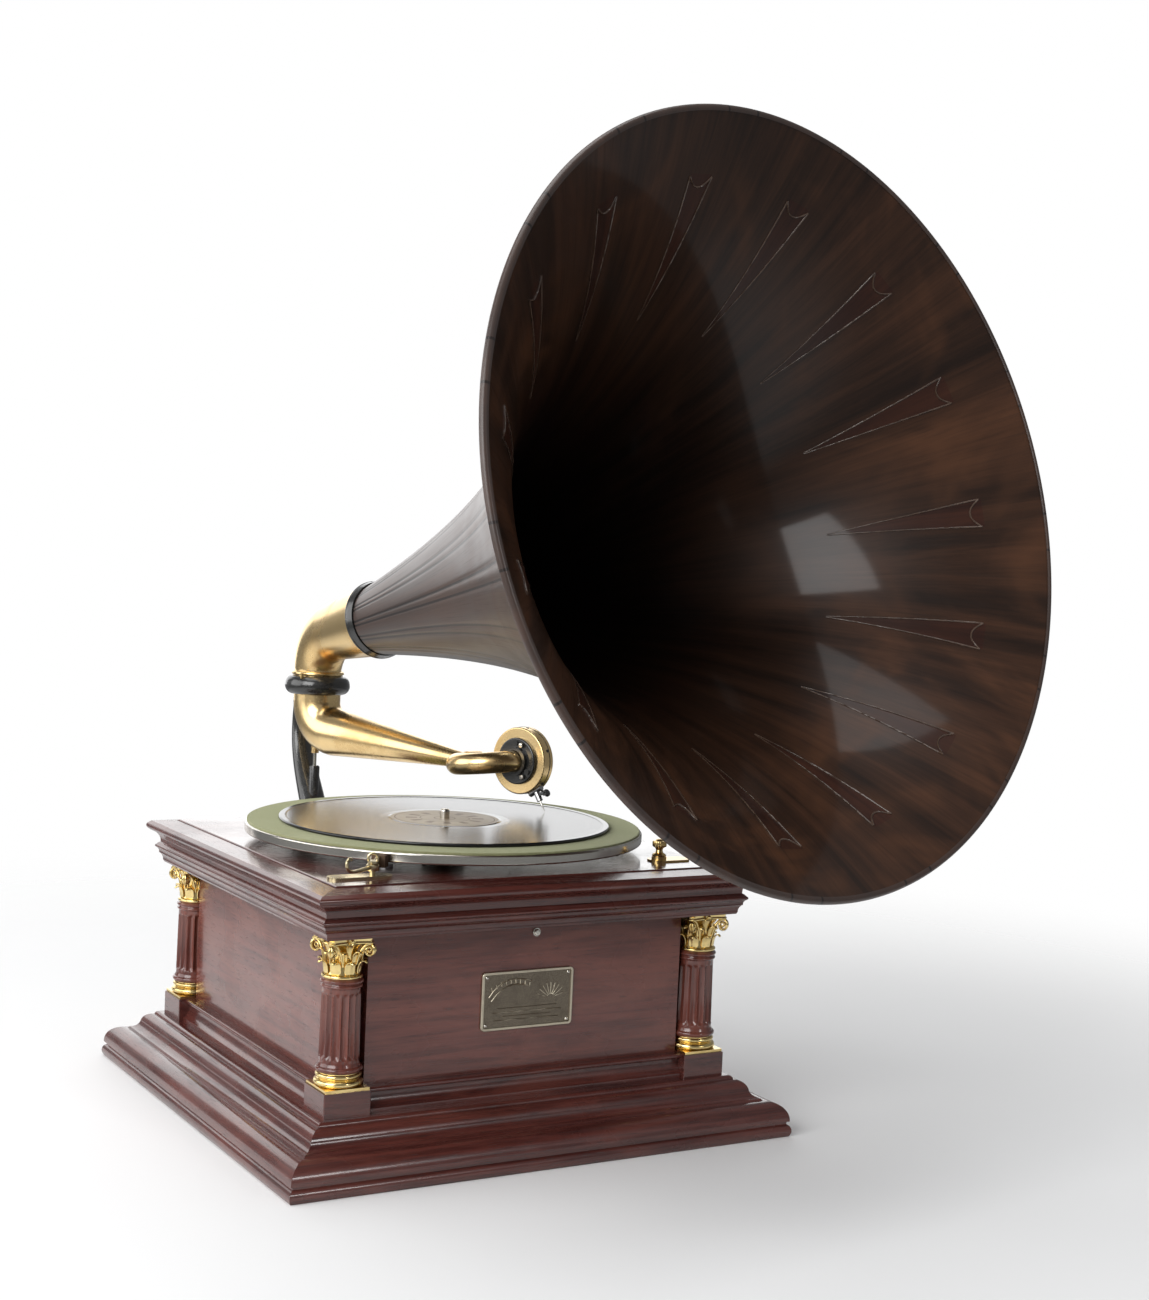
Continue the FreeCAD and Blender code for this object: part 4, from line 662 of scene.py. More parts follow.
def lathe(name, rings, segments, closed=True):
    """Piece turned about +Z: a circle extruded and resized through rings of (radius, height) in millimetres.

    A closed piece has a face on its first and last ring, and an open one is a skin between them.
    """
    deselect()
    radius, height = rings[0]
    bpy.ops.mesh.primitive_circle_add(vertices=segments, radius=radius * MM, location=(0, 0, 0),
                                      fill_type="NGON" if closed else "NOTHING")
    piece = bpy.context.object
    piece.name = name
    bpy.ops.object.mode_set(mode="EDIT")
    bpy.ops.mesh.select_all(action="SELECT")
    bpy.ops.transform.translate(value=(0, 0, height * MM))
    for next_radius, next_height in rings[1:]:
        rise = {"value": (0, 0, (next_height - height) * MM)}
        if closed:
            bpy.ops.mesh.extrude_region_move(TRANSFORM_OT_translate=rise)
        else:
            bpy.ops.mesh.extrude_edges_move(TRANSFORM_OT_translate=rise)
        grow = next_radius / radius
        bpy.ops.transform.resize(value=(grow, grow, 1), center_override=(0, 0, next_height * MM))
        radius, height = next_radius, next_height
    bpy.ops.object.mode_set(mode="OBJECT")
    return piece


def arc(radius_at, height_at, size, start, end, steps):
    """Rings along a round moulding: degrees from straight out, counted upward."""
    rings = []
    for i in range(steps + 1):
        angle = math.radians(start + (end - start) * i / steps)
        rings.append((radius_at + size * math.cos(angle), height_at + size * math.sin(angle)))
    return rings


def wire(name, points, thick, round_steps, order=4):
    """Round rod along a smooth line through a few points in millimetres.

    A point may end with its own share of the thickness.
    """
    deselect()
    bpy.ops.curve.primitive_nurbs_path_add(radius=1, location=(0, 0, 0))
    piece = bpy.context.object
    piece.name = name
    curve = piece.data
    curve.splines.clear()
    line = curve.splines.new("NURBS")
    line.points.add(len(points) - 1)
    for point, target in zip(points, line.points):
        target.co = (point[0] * MM, point[1] * MM, point[2] * MM, 1)
        target.radius = point[3] if len(point) > 3 else 1.0
    line.order_u = min(order, len(points))
    line.use_endpoint_u = True
    line.resolution_u = 8
    curve.dimensions = "3D"
    curve.bevel_depth = thick * MM
    curve.bevel_resolution = round_steps
    curve.use_fill_caps = True
    bpy.ops.object.convert(target="MESH")
    return bpy.context.object


def merge(name, pieces):
    """One piece made of several."""
    deselect()
    for piece in pieces:
        piece.select_set(True)
    bpy.context.view_layer.objects.active = pieces[0]
    if len(pieces) > 1:
        bpy.ops.object.join()
    whole = bpy.context.object
    whole.name = name
    return whole


def copies(piece, matrices):
    """Copies of a piece, each with its own mesh, one for each matrix, and the piece itself is removed."""
    made = []
    for matrix in matrices:
        copy = piece.copy()
        copy.data = piece.data.copy()
        bpy.context.scene.collection.objects.link(copy)
        settle(copy, matrix)
        made.append(copy)
    bpy.data.objects.remove(piece)
    return made


def knurl(beyond, step, share, above=0.0):
    """Knurls the piece in hand past a radius and above a height: every other step of degrees is drawn in."""

    def on_ridge(co):
        turn = math.degrees(math.atan2(co.y, co.x))
        return co.xy.length > beyond * MM and co.z > above * MM and round(turn / step) % 2 == 0

    pick(on_ridge)
    bpy.ops.transform.resize(value=(share, share, 1), center_override=(0, 0, 0))


def cut_slot(half, depth):
    """Cuts a driver's slot across the top of the screw head in hand."""
    for side in (half, -half):
        bpy.ops.mesh.select_all(action="SELECT")
        bpy.ops.mesh.bisect(plane_co=(side * MM, 0, 0), plane_no=(1, 0, 0))
    pick(lambda co, normal: normal.z > 0.8 and abs(co.x) < (half - 0.01) * MM, "faces")
    bpy.ops.mesh.extrude_region_move(TRANSFORM_OT_translate={"value": (0, 0, -depth * MM)})


def finished(piece, material, body, replaced=()):
    """Gives a piece its finish and body, and hides the nodes that it stands for."""
    give_finish(piece, material)
    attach(piece, body)
    if replaced:
        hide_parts(*replaced)


# ---------------------------------------------------------------- horn
def flare_radius(share):
    growth = (math.exp(HORN_FLARE * share) - 1) / (math.exp(HORN_FLARE) - 1)
    return HORN_THROAT_R + HORN_CONE * share + (HORN_R - HORN_THROAT_R - HORN_CONE) * growth


def flare_point(share, inset):
    """Radius and distance from the throat, moved square to the wall by the inset."""
    step = 1e-4
    slope = (flare_radius(share + step) - flare_radius(share - step)) / (2 * step * HORN_LENGTH)
    length = math.hypot(1, slope)
    return flare_radius(share) - inset / length, share * HORN_LENGTH + inset * slope / length


def make_horn_staves():
    """Two-skinned wood of the horn, with a shallow groove along each seam of its outside."""
    steps = 54
    shares = [WOOD_START + (WOOD_END - WOOD_START) * i / steps for i in range(steps + 1)]
    outside = [flare_point(share, HORN_SKIN) for share in shares]
    inside = [flare_point(share, HORN_SKIN + HORN_WALL) for share in reversed(shares)]
    rings = [(r, z - FERRULE_MIDDLE) for r, z in outside + inside + outside[:1]]
    horn = tidy(lathe("horn_staves", rings, STAVES * SEAM_COLUMNS, closed=False), 50.0)
    edit(horn)
    wall_middle = HORN_SKIN + HORN_WALL / 2

    def in_seam(co):
        share = min(max((co.z / MM + FERRULE_MIDDLE) / HORN_LENGTH, 0.0), 1.0)
        turn = math.degrees(math.atan2(co.y, co.x)) % STAVE_TURN
        near = min(abs(turn - seam) for seam in (0.0, STRIP_TURN, STAVE_TURN))
        return near < 0.2 and co.xy.length / MM > flare_point(share, wall_middle)[0]

    pick(in_seam)
    bpy.ops.transform.shrink_fatten(value=-SEAM_DEPTH * MM)
    bpy.ops.object.mode_set(mode="OBJECT")
    finished(horn, horn_wood, "horn", ["horn_bell"])
    horn.data.materials.append(horn_lining)
    for face in horn.data.polygons:
        away = (face.normal.x * face.center.x + face.normal.y * face.center.y) / face.center.xy.length
        face.material_index = 0 if away > face.normal.z else 1
    settle(horn, horn_frame)


def make_spears():
    """Raised line round each inlaid spear: two long straight edges from its point and a hollow broad end."""
    shares = [0.001 * i for i in range(1000)]

    def share_at(radius):
        return min(shares, key=lambda share: abs(flare_radius(share) - radius * HORN_R))

    def on_wall(radius, off):
        distance, along = flare_point(share_at(radius), HORN_SKIN + HORN_WALL + 0.15)
        angle = off / distance
        return distance * math.cos(angle), distance * math.sin(angle), along - FERRULE_MIDDLE

    thick, point_half, hollow_depth, edge_steps = 0.75, 0.3, 0.022, 9
    edges = []
    for side in (-1, 1):
        line = []
        for i in range(edge_steps + 1):
            part_way = i / edge_steps
            radius = SPEAR_POINT + (SPEAR_TIP - SPEAR_POINT) * part_way
            off = point_half + (SPEAR_HALF - point_half) * part_way
            line.append(on_wall(radius, side * off) + (0.55 + 0.45 * part_way,))
        edges.append(wire("spear_edge", line, thick, order=3, round_steps=1))
    hollow = []
    for i in range(7):
        across = -1 + i / 3
        hollow.append(on_wall(SPEAR_TIP - hollow_depth * (1 - across * across), SPEAR_HALF * across))
    edges.append(wire("spear_end", hollow, thick, order=3, round_steps=1))
    spear = tidy(merge("spear", edges), 60.0)
    turns = [horn_frame @ round_z(SPEAR_TURN + STAVE_TURN * i) for i in range(STAVES)]
    finished(merge("horn_spears", copies(spear, turns)), spear_line, "horn")


def make_rim():
    """Round lip that covers the ends of the staves: half an oval, square to the wall."""
    outset, overlap, crown, steps = 0.2, 1.0, 3.2, 12
    outside = Vector(flare_point(WOOD_END, outset))
    inside = Vector(flare_point(WOOD_END, HORN_SKIN + HORN_WALL + overlap))
    across = inside - outside
    middle = (inside + outside) / 2
    ahead = Vector((-across.y, across.x)).normalized()
    if ahead.y < 0:
        ahead = -ahead
    rings = []
    for i in range(steps + 1):
        angle = math.pi * i / steps
        radius, along = middle - across * math.cos(angle) / 2 + ahead * crown * math.sin(angle)
        rings.append((radius, along - FERRULE_MIDDLE))
    rim = tidy(lathe("horn_lip", rings + rings[:1], 240, closed=False), 60.0)
    settle(rim, horn_frame)
    finished(rim, horn_wood, "horn", ["horn_rim"])


make_horn_staves()
make_spears()
make_rim()


# ---------------------------------------------------------------- column capitals
ABACUS_HALF = 17.0
ABACUS_FOOT = 158.6


def acanthus(name, stations):
    """Leaf that leans out along +X: a strip drawn up through stations, ribbed and given a thickness.

    A station is the leaf's half width, how far out it is and how high, in millimetres.
    """
    deselect()
    bpy.ops.mesh.primitive_grid_add(x_subdivisions=1, y_subdivisions=6, size=MM, location=(0, 0, 0))
    piece = bpy.context.object
    piece.name = name
    edit(piece)
    half, out, up = stations[0]
    pick(lambda co: co.x > 0)
    bpy.ops.mesh.delete(type="VERT")
    bpy.ops.mesh.select_all(action="SELECT")
    bpy.ops.transform.translate(value=((out + 0.5) * MM, 0, up * MM))
    bpy.ops.transform.resize(value=(1, 2 * half, 1), center_override=(0, 0, 0))
    for next_half, next_out, next_up in stations[1:]:
        step = ((next_out - out) * MM, 0, (next_up - up) * MM)
        bpy.ops.mesh.extrude_edges_move(TRANSFORM_OT_translate={"value": step})
        bpy.ops.transform.resize(value=(1, next_half / half, 1), center_override=(0, 0, 0))
        half, out, up = next_half, next_out, next_up
    pick(lambda co: abs(co.y) < 0.05 * MM)
    bpy.ops.transform.translate(value=(0.55 * MM, 0, 0.2 * MM))
    pick(lambda co: abs(co.y) > 0.9 * MM and co.z > stations[1][2] * MM)
    bpy.ops.transform.translate(value=(-0.5 * MM, 0, 0))
    bpy.ops.object.mode_set(mode="OBJECT")
    modify(piece, "SOLIDIFY", thickness=0.9 * MM, offset=0.0)
    modify(piece, "SUBSURF", levels=1, render_levels=1)
    return tidy(piece, 70.0)


def make_abacus():
    """Capital's top plate: hollow sides, cut corners and a small moulded edge."""
    deselect()
    bpy.ops.mesh.primitive_plane_add(size=2 * ABACUS_HALF * MM, location=(0, 0, ABACUS_FOOT * MM))
    piece = bpy.context.object
    edit(piece)
    corner, hollow, cuts = 3.2, 2.9, 9
    bpy.ops.mesh.select_all(action="SELECT")
    bpy.ops.mesh.bevel(offset=corner * MM, affect="VERTICES")
    pick_edges(lambda run: run.length > ABACUS_HALF * MM)
    bpy.ops.mesh.subdivide(number_cuts=cuts)
    for side in range(4):
        turn = round_z(90 * side).to_3x3()
        for i in range(cuts):
            along = 2 * (i + 1) / (cuts + 1) - 1
            reach = (ABACUS_HALF - corner) * along
            inward = Vector((-hollow * (1 - along * along) * MM, 0, 0))

            def here(co, back=turn.inverted(), at=reach):
                local = back @ co
                return local.x > (ABACUS_HALF - 0.1) * MM and abs(local.y - at * MM) < 0.2 * MM

            pick(here)
            bpy.ops.transform.translate(value=turn @ inward)
    bpy.ops.mesh.select_all(action="SELECT")
    for rise, grow in ((0.9, 1.0), (0.5, 0.95), (0.9, 1.0), (1.3, 1.055), (0.8, 1.0)):
        bpy.ops.mesh.extrude_region_move(TRANSFORM_OT_translate={"value": (0, 0, rise * MM)})
        bpy.ops.transform.resize(value=(grow, grow, 1), center_override=(0, 0, 0))
    bpy.ops.object.mode_set(mode="OBJECT")
    modify(piece, "BEVEL", width=0.22 * MM, segments=2, limit_method="ANGLE")
    return tidy(piece, 35.0)


def make_capitals():
    """Carved capitals: a bell with a collar, two rows of leaves, paired scrolls, a top plate and flowers."""
    foot = COLUMN_TOP
    bell = lathe("bell", [(0.4, foot), (12.9, foot)] + arc(13.0, foot + 1.3, 1.3, -80, 80, 6)
                 + [(12.1, 136.9), (11.6, 139.0), (11.2, 145.0), (11.6, 150.0), (12.8, 154.5), (14.6, 157.2),
                    (15.2, 158.0), (15.0, 158.8), (0.4, 158.8)], 40)
    pieces = [tidy(bell, 40.0), make_abacus()]
    low = acanthus("low_leaf", [(3.0, 12.2, 136.8), (4.3, 12.6, 139.2), (3.7, 12.9, 141.4),
                                (4.4, 13.4, 143.4), (3.1, 14.5, 145.6), (2.4, 16.2, 146.5),
                                (1.5, 17.4, 145.6), (0.8, 17.6, 144.4)])
    pieces += copies(low, [round_z(45 * i) for i in range(8)])
    tall = acanthus("tall_leaf", [(2.6, 11.4, 142.0), (3.8, 11.7, 145.6), (3.1, 12.2, 148.4),
                                  (3.9, 13.0, 150.8), (2.8, 14.6, 152.9), (2.1, 16.3, 153.4),
                                  (1.3, 17.4, 152.2), (0.7, 17.4, 151.1)])
    pieces += copies(tall, [round_z(45 * i + 22.5) for i in range(8)])
    scroll = wire("scroll", [(10.6, 0, 144, 0.7), (11.6, 0, 149.5, 0.9), (14.2, 0, 155.6, 1.1),
                             (18.6, 0, 158.9, 1.2), (22.6, 0, 157.0, 1.2), (23.2, 0, 152.2, 1.15),
                             (19.6, 0, 149.4, 1.05),
                             (16.2, 0, 151.8, 0.95), (16.8, 0, 155.6, 0.9), (20.2, 0, 156.0, 0.85),
                             (20.9, 0, 153.2, 0.8), (18.6, 0, 152.2, 1.0), (18.4, 0, 153.7, 1.4)],
                  0.95, order=4, round_steps=2)
    tidy(scroll, 80.0)
    corner = Matrix.Translation((20.5 * MM, 0, 0))
    turns = []
    for i in range(4):
        for lean in (-27, 27):
            turns.append(round_z(45 + 90 * i) @ corner @ round_z(lean) @ corner.inverted())
    pieces += copies(scroll, turns)
    flower = lathe("flower", [(0.2, 0), (2.2, 0.1), (3.1, 0.9), (2.6, 1.6), (1.5, 1.4), (1.2, 2.2),
                              (0.5, 2.7), (0.1, 2.7)], 20)
    edit(flower)
    petal_turn = 360 / 5

    def between_petals(co):
        angle = math.degrees(math.atan2(co.y, co.x)) % petal_turn
        return min(angle, petal_turn - angle) < 10 and co.xy.length > 2.0 * MM

    pick(between_petals)
    bpy.ops.transform.resize(value=(0.72, 0.72, 1), center_override=(0, 0, 0))
    tidy(flower, 50.0)
    stand = Matrix.Translation(((ABACUS_HALF - 3.1) * MM, 0, (ABACUS_FOOT + 1.8) * MM))
    outward = Matrix.Rotation(math.pi / 2, 4, "Y")
    pieces += copies(flower, [round_z(90 * i) @ stand @ outward for i in range(4)])
    capitals = merge("gilt_capitals", copies(merge("capital", pieces), corner_spots))
    finished(capitals, rich_gold, "cabinet", ["column_capitals"])


make_capitals()


# ---------------------------------------------------------------- fluted columns
SHAFT_R = 13.6               # at half height: the shaft tapers a little
FLUTES = 16
FLUTE_DEPTH = 1.9
FLUTE_COLUMNS = 6            # mesh columns in one flute with its fillet


def make_columns():
    """Turned shafts with deep round-ended flutes between flat fillets."""
    rings = [(0.4, COLUMN_FOOT), (15.2, COLUMN_FOOT)] + arc(14.5, COLUMN_FOOT + 2.1, 1.9, -70, 80, 6)
    rings += [(14.7, 74.6), (14.2, 75.4), (13.9, 76.6), (13.9, 78.6), (13.88, 79.8), (13.85, 81.4),
              (SHAFT_R, 101.0), (13.32, 121.4), (13.28, 123.0), (13.26, 124.2), (13.2, 126.0), (13.3, 127.2)]
    rings += arc(13.3, 128.6, 1.2, -70, 70, 5) + [(13.4, 130.4)] + arc(13.5, 131.9, 1.4, -80, 80, 5)
    rings += [(13.2, COLUMN_TOP), (0.4, COLUMN_TOP)]
    shaft = lathe("shaft", rings, FLUTES * FLUTE_COLUMNS)
    edit(shaft)
    column = 360.0 / (FLUTES * FLUTE_COLUMNS)
    for low, high, share in ((79.4, 80.4, 0.5), (80.4, 122.0, 1.0), (122.6, 123.6, 0.5)):
        for places, depth in (((1, 5), 0.55), ((2, 4), 0.92), ((3,), 1.0)):
            def in_flute(co, low=low, high=high, places=places):
                at = round(math.degrees(math.atan2(co.y, co.x)) / column) % FLUTE_COLUMNS
                return low * MM < co.z < high * MM and at in places and co.xy.length > 12 * MM

            pick(in_flute)
            grow = 1 - FLUTE_DEPTH * share * depth / SHAFT_R
            bpy.ops.transform.resize(value=(grow, grow, 1), center_override=(0, 0, 0))
    shafts = merge("fluted_shafts", copies(tidy(shaft, 28.0), corner_spots))
    finished(shafts, upright, "cabinet", ["column_shafts"])


make_columns()


# ---------------------------------------------------------------- name plate
def make_name_plate():
    """Plate with rounded corners, a raised border and a plain ornament in a sunk field, with no lettering."""
    low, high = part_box("name_plate")
    deselect()
    bpy.ops.mesh.primitive_cube_add(size=1, location=(low + high) / 2, scale=high - low)
    plate = settle(bpy.context.object)
    edit(plate)
    pick_edges(lambda run: abs(run.y) > 0.5 * MM and abs(run.x) < 1e-6 and abs(run.z) < 1e-6)
    bpy.ops.mesh.bevel(offset=3.0 * MM, segments=6)
    pick(lambda co, normal: normal.y < -0.9, "faces")
    bpy.ops.mesh.inset(thickness=0.35 * MM)
    bpy.ops.transform.translate(value=(0, -0.3 * MM, 0))
    bpy.ops.mesh.inset(thickness=1.5 * MM)
    bpy.ops.mesh.inset(thickness=0.25 * MM)
    bpy.ops.transform.translate(value=(0, 0.75 * MM, 0))
    bpy.ops.object.mode_set(mode="OBJECT")
    tidy(plate, 30.0)
    finished(plate, plate_border, "cabinet", ["name_plate"])
    plate.data.materials.append(plate_metal)
    field = max(face.center.y for face in plate.data.polygons if face.normal.y < -0.9)
    for face in plate.data.polygons:
        if face.normal.y < -0.9 and face.center.y > field - 0.05 * MM:
            face.material_index = 1
    middle = (low + high) / 2 / MM
    front = field / MM
    lines = []

    def etched(points, thick):
        placed = [(middle.x + x, front, middle.z + z) for x, z in points]
        lines.append(wire("etched", placed, thick, order=3, round_steps=1))

    # a ribbed arch at the left, a fan at the right, and four rules under them
    etched([(-31, 3), (-26, 10), (-17, 14.5), (-7, 15.5), (3, 13)], 0.5)
    etched([(-29, 0), (-24, 6.5), (-16, 10.5), (-7, 11.5), (1, 9.5)], 0.5)
    for i in range(9):
        share = i / 8
        rise = 9.5 * math.sin(math.pi * (0.15 + 0.62 * share))
        etched([(-28.5 + 30 * share, 2.5 + rise), (-29.5 + 31 * share, 5.5 + rise)], 0.4)
    for i in range(9):
        angle = math.radians(20 + 17.5 * i)
        etched([(19 + reach * math.cos(angle), -1 + reach * math.sin(angle)) for reach in (3.0, 11.5)], 0.35)
    for half, up in ((24, -5.5), (28, -8.5), (20, -11.3), (26, -14.0)):
        etched([(-half, up), (0, up), (half, up)], 0.32)
    ornament = tidy(merge("plate_ornament", lines), 60.0)
    finished(ornament, plate_border, "cabinet")


make_name_plate()


# ---------------------------------------------------------------- sound box and needle
def make_sound_box_trim():
    """Dark line between the two halves of the case, and the screws round its edge."""
    line = lathe("case_split", [(26.6, 1.3), (27.25, 1.3), (27.25, 1.9), (26.6, 1.9), (26.6, 1.3)], 96,
                 closed=False)
    settle(tidy(line, 30.0), box_frame)
    finished(line, enamel, "sound_box")
    screw = lathe("edge_screw", [(0.1, 0), (1.35, 0), (1.35, 0.5), (1.0, 0.8), (0.1, 0.8)], 16)
    edit(screw)
    cut_slot(0.18, 0.4)
    tidy(screw, 30.0)
    lay = Matrix.Translation((26.7 * MM, 0, 0)) @ Matrix.Rotation(math.pi / 2, 4, "Y")
    spots = [box_frame @ round_z(60 * i + 8) @ lay for i in range(6)]
    finished(merge("case_screws", copies(screw, spots)), enamel, "sound_box")


def make_flange_screws():
    """Three round-headed screws on the sound box's back flange, seated on the node's own surface."""
    flange_points = [box_frame.inverted() @ vert.co for vert in frame["nodes"]["soundbox_back"].data.vertices]
    edge_r = max(point.xy.length for point in flange_points) / MM
    seat_z = min(point.z for point in flange_points if point.xy.length / MM > edge_r - 5) / MM
    head = lathe("flange_screw", [(0.1, 0), (2.1, 0)] + arc(1.5, 0.6, 0.6, -10, 80, 4) + [(0.2, 1.25)], 20)
    edit(head)
    cut_slot(0.22, 0.45)
    tidy(head, 30.0)
    flip = Matrix.Rotation(math.pi, 4, "X")
    seat = Matrix.Translation(((edge_r - 4.2) * MM, 0, seat_z * MM))
    spots = [box_frame @ round_z(120 * i + 25) @ seat @ flip for i in range(3)]
    finished(merge("flange_screws", copies(head, spots)), nickel, "sound_box")


def make_thumb_screw():
    """Knurled screw that grips the needle."""
    low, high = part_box("needle_screw")
    place, axis = joint("thumb_screw_turn")
    if ((low + high) / 2 - place).dot(axis) < 0:
        axis = -axis
    corners = [Vector((x, y, z)) for x in (low.x, high.x) for y in (low.y, high.y) for z in (low.z, high.z)]
    far = max((corner - place).dot(axis) for corner in corners) / MM
    rings = [(0.2, 0.5), (0.9, 0.5), (0.9, far - 4.6), (2.6, far - 4.3), (3.1, far - 3.9), (3.1, far - 2.0),
             (2.6, far - 1.6), (0.2, far - 1.5)]
    screw = lathe("thumb_screw_head", rings, 36)
    edit(screw)
    knurl(2.9, 10, 0.90)
    tidy(screw, 25.0)
    settle(screw, frame_along(place, axis, Z_AXIS))
    finished(screw, enamel, "thumb_screw", ["needle_screw"])


make_sound_box_trim()
make_flange_screws()
make_thumb_screw()


# ---------------------------------------------------------------- back bracket
COLLAR_BORE = 20.6


def make_bracket():
    """Cast bracket: foot on the back wall, oval arm sweeping up behind the tone arm, collar, pivot post."""
    swivel = swivel_place.y / MM
    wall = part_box("back_bracket")[0].y / MM
    arm = wire("bracket_arm", [(0, swivel + 23.5, 300, 1.1), (0, swivel + 30, 290, 1.0),
                               (0, swivel + 34, 270, 0.95), (0, swivel + 33.5, 248, 1.0),
                               (0, swivel + 24, 228, 1.2), (0, swivel + 10, 208, 1.35),
                               (0, swivel - 2, 190, 1.4), (0, swivel - 17, 168, 1.4),
                               (0, swivel - 38, 150, 1.5), (0, swivel - 66, 138, 1.7),
                               (0, wall + 4, 131, 2.3)], 5.4, round_steps=6)
    edit(arm)
    bpy.ops.mesh.select_all(action="SELECT")
    bpy.ops.transform.resize(value=(1.6, 1, 1), center_override=(0, 0, 0))
    tidy(arm, 60.0)
    deselect()
    foot_size = Vector((68, 8, 60)) * MM
    foot_place = (0, wall * MM + foot_size.y / 2, 130 * MM)
    bpy.ops.mesh.primitive_cube_add(size=1, location=foot_place, scale=foot_size)
    foot = settle(bpy.context.object)
    edit(foot)
    pick_edges(lambda run: abs(run.y) > foot_size.y / 2)
    bpy.ops.mesh.bevel(offset=9 * MM, segments=8)
    bpy.ops.object.mode_set(mode="OBJECT")
    modify(foot, "BEVEL", width=1.2 * MM, segments=3, limit_method="ANGLE")
    tidy(foot, 30.0)
    collar_low, collar_middle, collar_high = 290.5, 298.5, 306.5
    round_edge = []
    for i in range(17):
        angle = math.radians(-90 + 180 * i / 16)
        round_edge.append((22.5 + 6.0 * math.cos(angle), collar_middle + 8.0 * math.sin(angle)))
    bore = [(COLLAR_BORE, collar_high), (COLLAR_BORE, collar_low)]
    collar = tidy(lathe("collar", bore[1:] + round_edge + bore, 96, closed=False), 35.0)
    post = lathe("pivot_post", [(0.2, 176), (4.6, 176), (4.6, 225.4), (4.3, 226.4), (3.4, 227.0),
                                (0.2, 227.0)], 40)
    tidy(post, 30.0)
    for upright_part in (collar, post):
        settle(upright_part, Matrix.Translation((0, swivel * MM, 0)))
    bracket = merge("bracket_casting", [arm, foot, collar, post])
    finished(bracket, enamel, "cabinet", ["back_bracket"])


make_bracket()


# ---------------------------------------------------------------- brake and speed knob
BRAKE_POST = (-118.0, -130.0)
BRAKE_ARM_HEIGHT = 205.0


def make_brake():
    """Finger hook, standing eyelet over the pivot and the wedge arm that carries the pad."""
    x, y = BRAKE_POST
    hook = wire("brake_hook", [(x, y, 205.2, 1.3), (x - 10, y - 8, 205.2, 1.2), (x - 20, y - 16, 205.4, 1.1),
                               (x - 26.5, y - 21.5, 206.2), (x - 30.5, y - 24.4, 209.6, 0.95),
                               (x - 30.4, y - 24.3, 214.0, 0.9), (x - 26.8, y - 21.3, 216.0, 0.85),
                               (x - 24.6, y - 19.6, 214.2, 0.8)], 1.25, order=3, round_steps=3)
    tidy(hook, 60.0)
    ring = lathe("brake_eye", arc(3.3, 0, 1.0, 0, 360, 12), 40, closed=False)
    tidy(ring, 60.0)
    standing = round_z(-114) @ Matrix.Rotation(math.pi / 2, 4, "Y")
    settle(ring, Matrix.Translation((x * MM, y * MM, 211.2 * MM)) @ standing)
    pivot = lathe("brake_pivot", [(0.2, 202.6), (4.4, 202.6), (4.6, 203.2), (4.6, 206.4), (4.0, 207.2),
                                  (2.4, 207.4), (2.0, 208.0), (0.2, 208.0)], 32)
    tidy(pivot, 30.0)
    settle(pivot, Matrix.Translation((x * MM, y * MM, 0)))
    deselect()
    arm_length, arm_width, arm_height = 15.0, 3.2, 4.6
    bpy.ops.mesh.primitive_cube_add(size=1, location=(0, 0, 0),
                                    scale=(arm_length * MM, arm_width * MM, arm_height * MM))
    arm = settle(bpy.context.object)
    edit(arm)
    pick(lambda co: co.x > 0 and co.z > 0)
    bpy.ops.transform.translate(value=(0, 0, 4.2 * MM))
    pick(lambda co: co.x < 0)
    thin_end = (-arm_length / 2 * MM, 0, -arm_height / 2 * MM)
    bpy.ops.transform.resize(value=(1, 0.7, 0.7), center_override=thin_end)
    bpy.ops.object.mode_set(mode="OBJECT")
    modify(arm, "BEVEL", width=0.6 * MM, segments=3, limit_method="ANGLE")
    tidy(arm, 30.0)
    pad = box_middle("brake_pad") / MM
    start = Matrix.Translation((x * MM, y * MM, BRAKE_ARM_HEIGHT * MM))
    toward_pad = Matrix.Rotation(math.atan2(pad.y - y, pad.x - x), 4, "Z")
    settle(arm, start @ toward_pad @ Matrix.Translation((4.0 * MM, 0, 0)))
    brake = merge("brake_hook_and_eye", [hook, ring, pivot, arm])
    finished(brake, pale_brass, "brake", ["brake_lever"])


def make_speed_knob():
    """Regulator's turned knob: a foot on the dial, a waist and a knurled head."""
    low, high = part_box("speed_knob")
    foot, top = low.z / MM, high.z / MM
    rings = [(0.2, foot), (2.4, foot), (2.4, 201.5), (5.2, 201.6), (5.4, 202.4), (4.6, 203.4), (2.9, 204.4),
             (2.5, 206.4), (3.2, 207.8), (5.0, 208.8), (5.4, 209.4), (5.4, 212.2), (5.0, 212.9), (3.2, 213.4),
             (2.4, 214.2), (1.2, top), (0.2, top)]
    knob = lathe("regulator_knob", rings, 48)
    edit(knob)
    knurl(5.3, 7.5, 0.93, above=209)
    tidy(knob, 25.0)
    middle = box_middle("speed_knob")
    settle(knob, Matrix.Translation((middle.x, middle.y, 0)))
    finished(knob, brass, "regulator", ["speed_knob"])


make_brake()
make_speed_knob()


# ---------------------------------------------------------------- setting: floor, light and camera
def make_floor():
    """Wide pale floor."""
    deselect()
    bpy.ops.mesh.primitive_plane_add(size=12.0, location=(0, 0, 0))
    floor = bpy.context.object
    floor.name = "studio_floor"
    floor.data.materials.append(studio_floor("pale_floor"))


def area_light(name, place, target, width, height, power):
    data = bpy.data.lights.new(name, "AREA")
    data.shape = "RECTANGLE"
    data.size = width
    data.size_y = height
    data.energy = power
    light = bpy.data.objects.new(name, data)
    light.location = place
    light.rotation_euler = (Vector(target) - Vector(place)).to_track_quat("-Z", "Y").to_euler()
    bpy.context.scene.collection.objects.link(light)


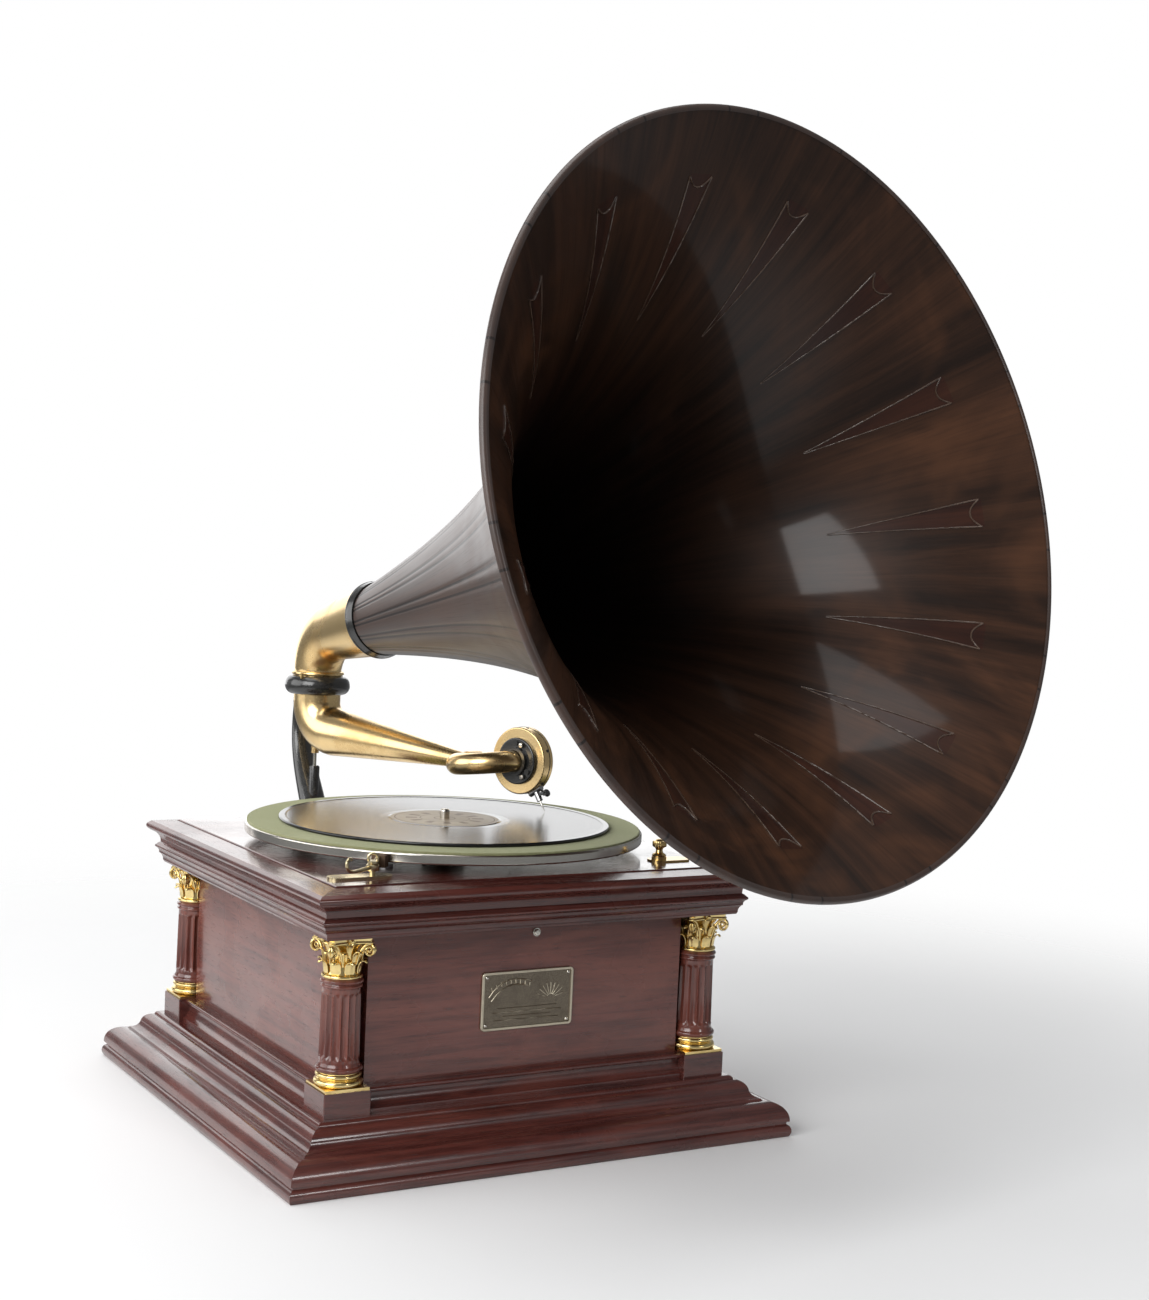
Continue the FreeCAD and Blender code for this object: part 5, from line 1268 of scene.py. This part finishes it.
def make_light():
    """Pale surroundings, seen as white behind the object but dim as a light, and five soft lamps."""
    world = bpy.data.worlds.new("pale_room")
    bpy.context.scene.world = world
    world.use_nodes = True
    nodes = world.node_tree.nodes
    links = world.node_tree.links
    nodes.clear()
    output = nodes.new("ShaderNodeOutputWorld")
    blend = nodes.new("ShaderNodeMixShader")
    seen = nodes.new("ShaderNodeBackground")
    room = nodes.new("ShaderNodeBackground")
    rays = nodes.new("ShaderNodeLightPath")
    seen.inputs[0].default_value = rgb(1.0, 1.0, 1.0)
    seen.inputs[1].default_value = 1.0
    room.inputs[0].default_value = rgb(0.95, 0.97, 1.0)
    room.inputs[1].default_value = 0.22
    links.new(rays.outputs["Is Camera Ray"], blend.inputs[0])
    links.new(room.outputs[0], blend.inputs[1])
    links.new(seen.outputs[0], blend.inputs[2])
    links.new(blend.outputs[0], output.inputs[0])
    area_light("key_left", (-2.4, -1.2, 1.5), (0, 0, 0.25), 2.0, 1.8, 62)
    area_light("side_wall", (-2.6, 1.0, 1.1), (0, 0, 0.3), 2.4, 2.0, 34)
    area_light("back_wall", (0.6, 2.8, 1.0), (0, 0, 0.3), 3.6, 2.0, 36)
    area_light("overhead", (-0.2, 0.1, 2.6), (0, 0, 0.2), 2.0, 2.0, 26)
    area_light("window_glint", (1.0, -2.9, 1.3), (0.1, 0, 0.4), 0.30, 0.5, 7)


CAMERA_PLACE = (-0.6989, -1.3762, 0.4372)
CAMERA_AHEAD = (0.5067, 0.8603, -0.0558)
CAMERA_RIGHT = (0.8620, -0.5048, 0.0453)
LENS = 55.515                # millimetres, on a frame 36 mm along its longer side


def make_camera():
    """Camera a little above the elbow, out from the cabinet's left front corner."""
    data = bpy.data.cameras.new("camera")
    camera = bpy.data.objects.new("camera", data)
    bpy.context.scene.collection.objects.link(camera)
    data.sensor_width = 36.0
    data.lens = LENS
    data.clip_start = 0.05
    ahead = Vector(CAMERA_AHEAD).normalized()
    right = Vector(CAMERA_RIGHT)
    right = (right - ahead * right.dot(ahead)).normalized()
    turn = Matrix((right, right.cross(ahead), -ahead)).transposed().to_4x4()
    camera.matrix_world = Matrix.Translation(CAMERA_PLACE) @ turn
    bpy.context.scene.camera = camera


make_floor()
make_light()
make_camera()
bpy.context.scene.view_settings.view_transform = "Standard"
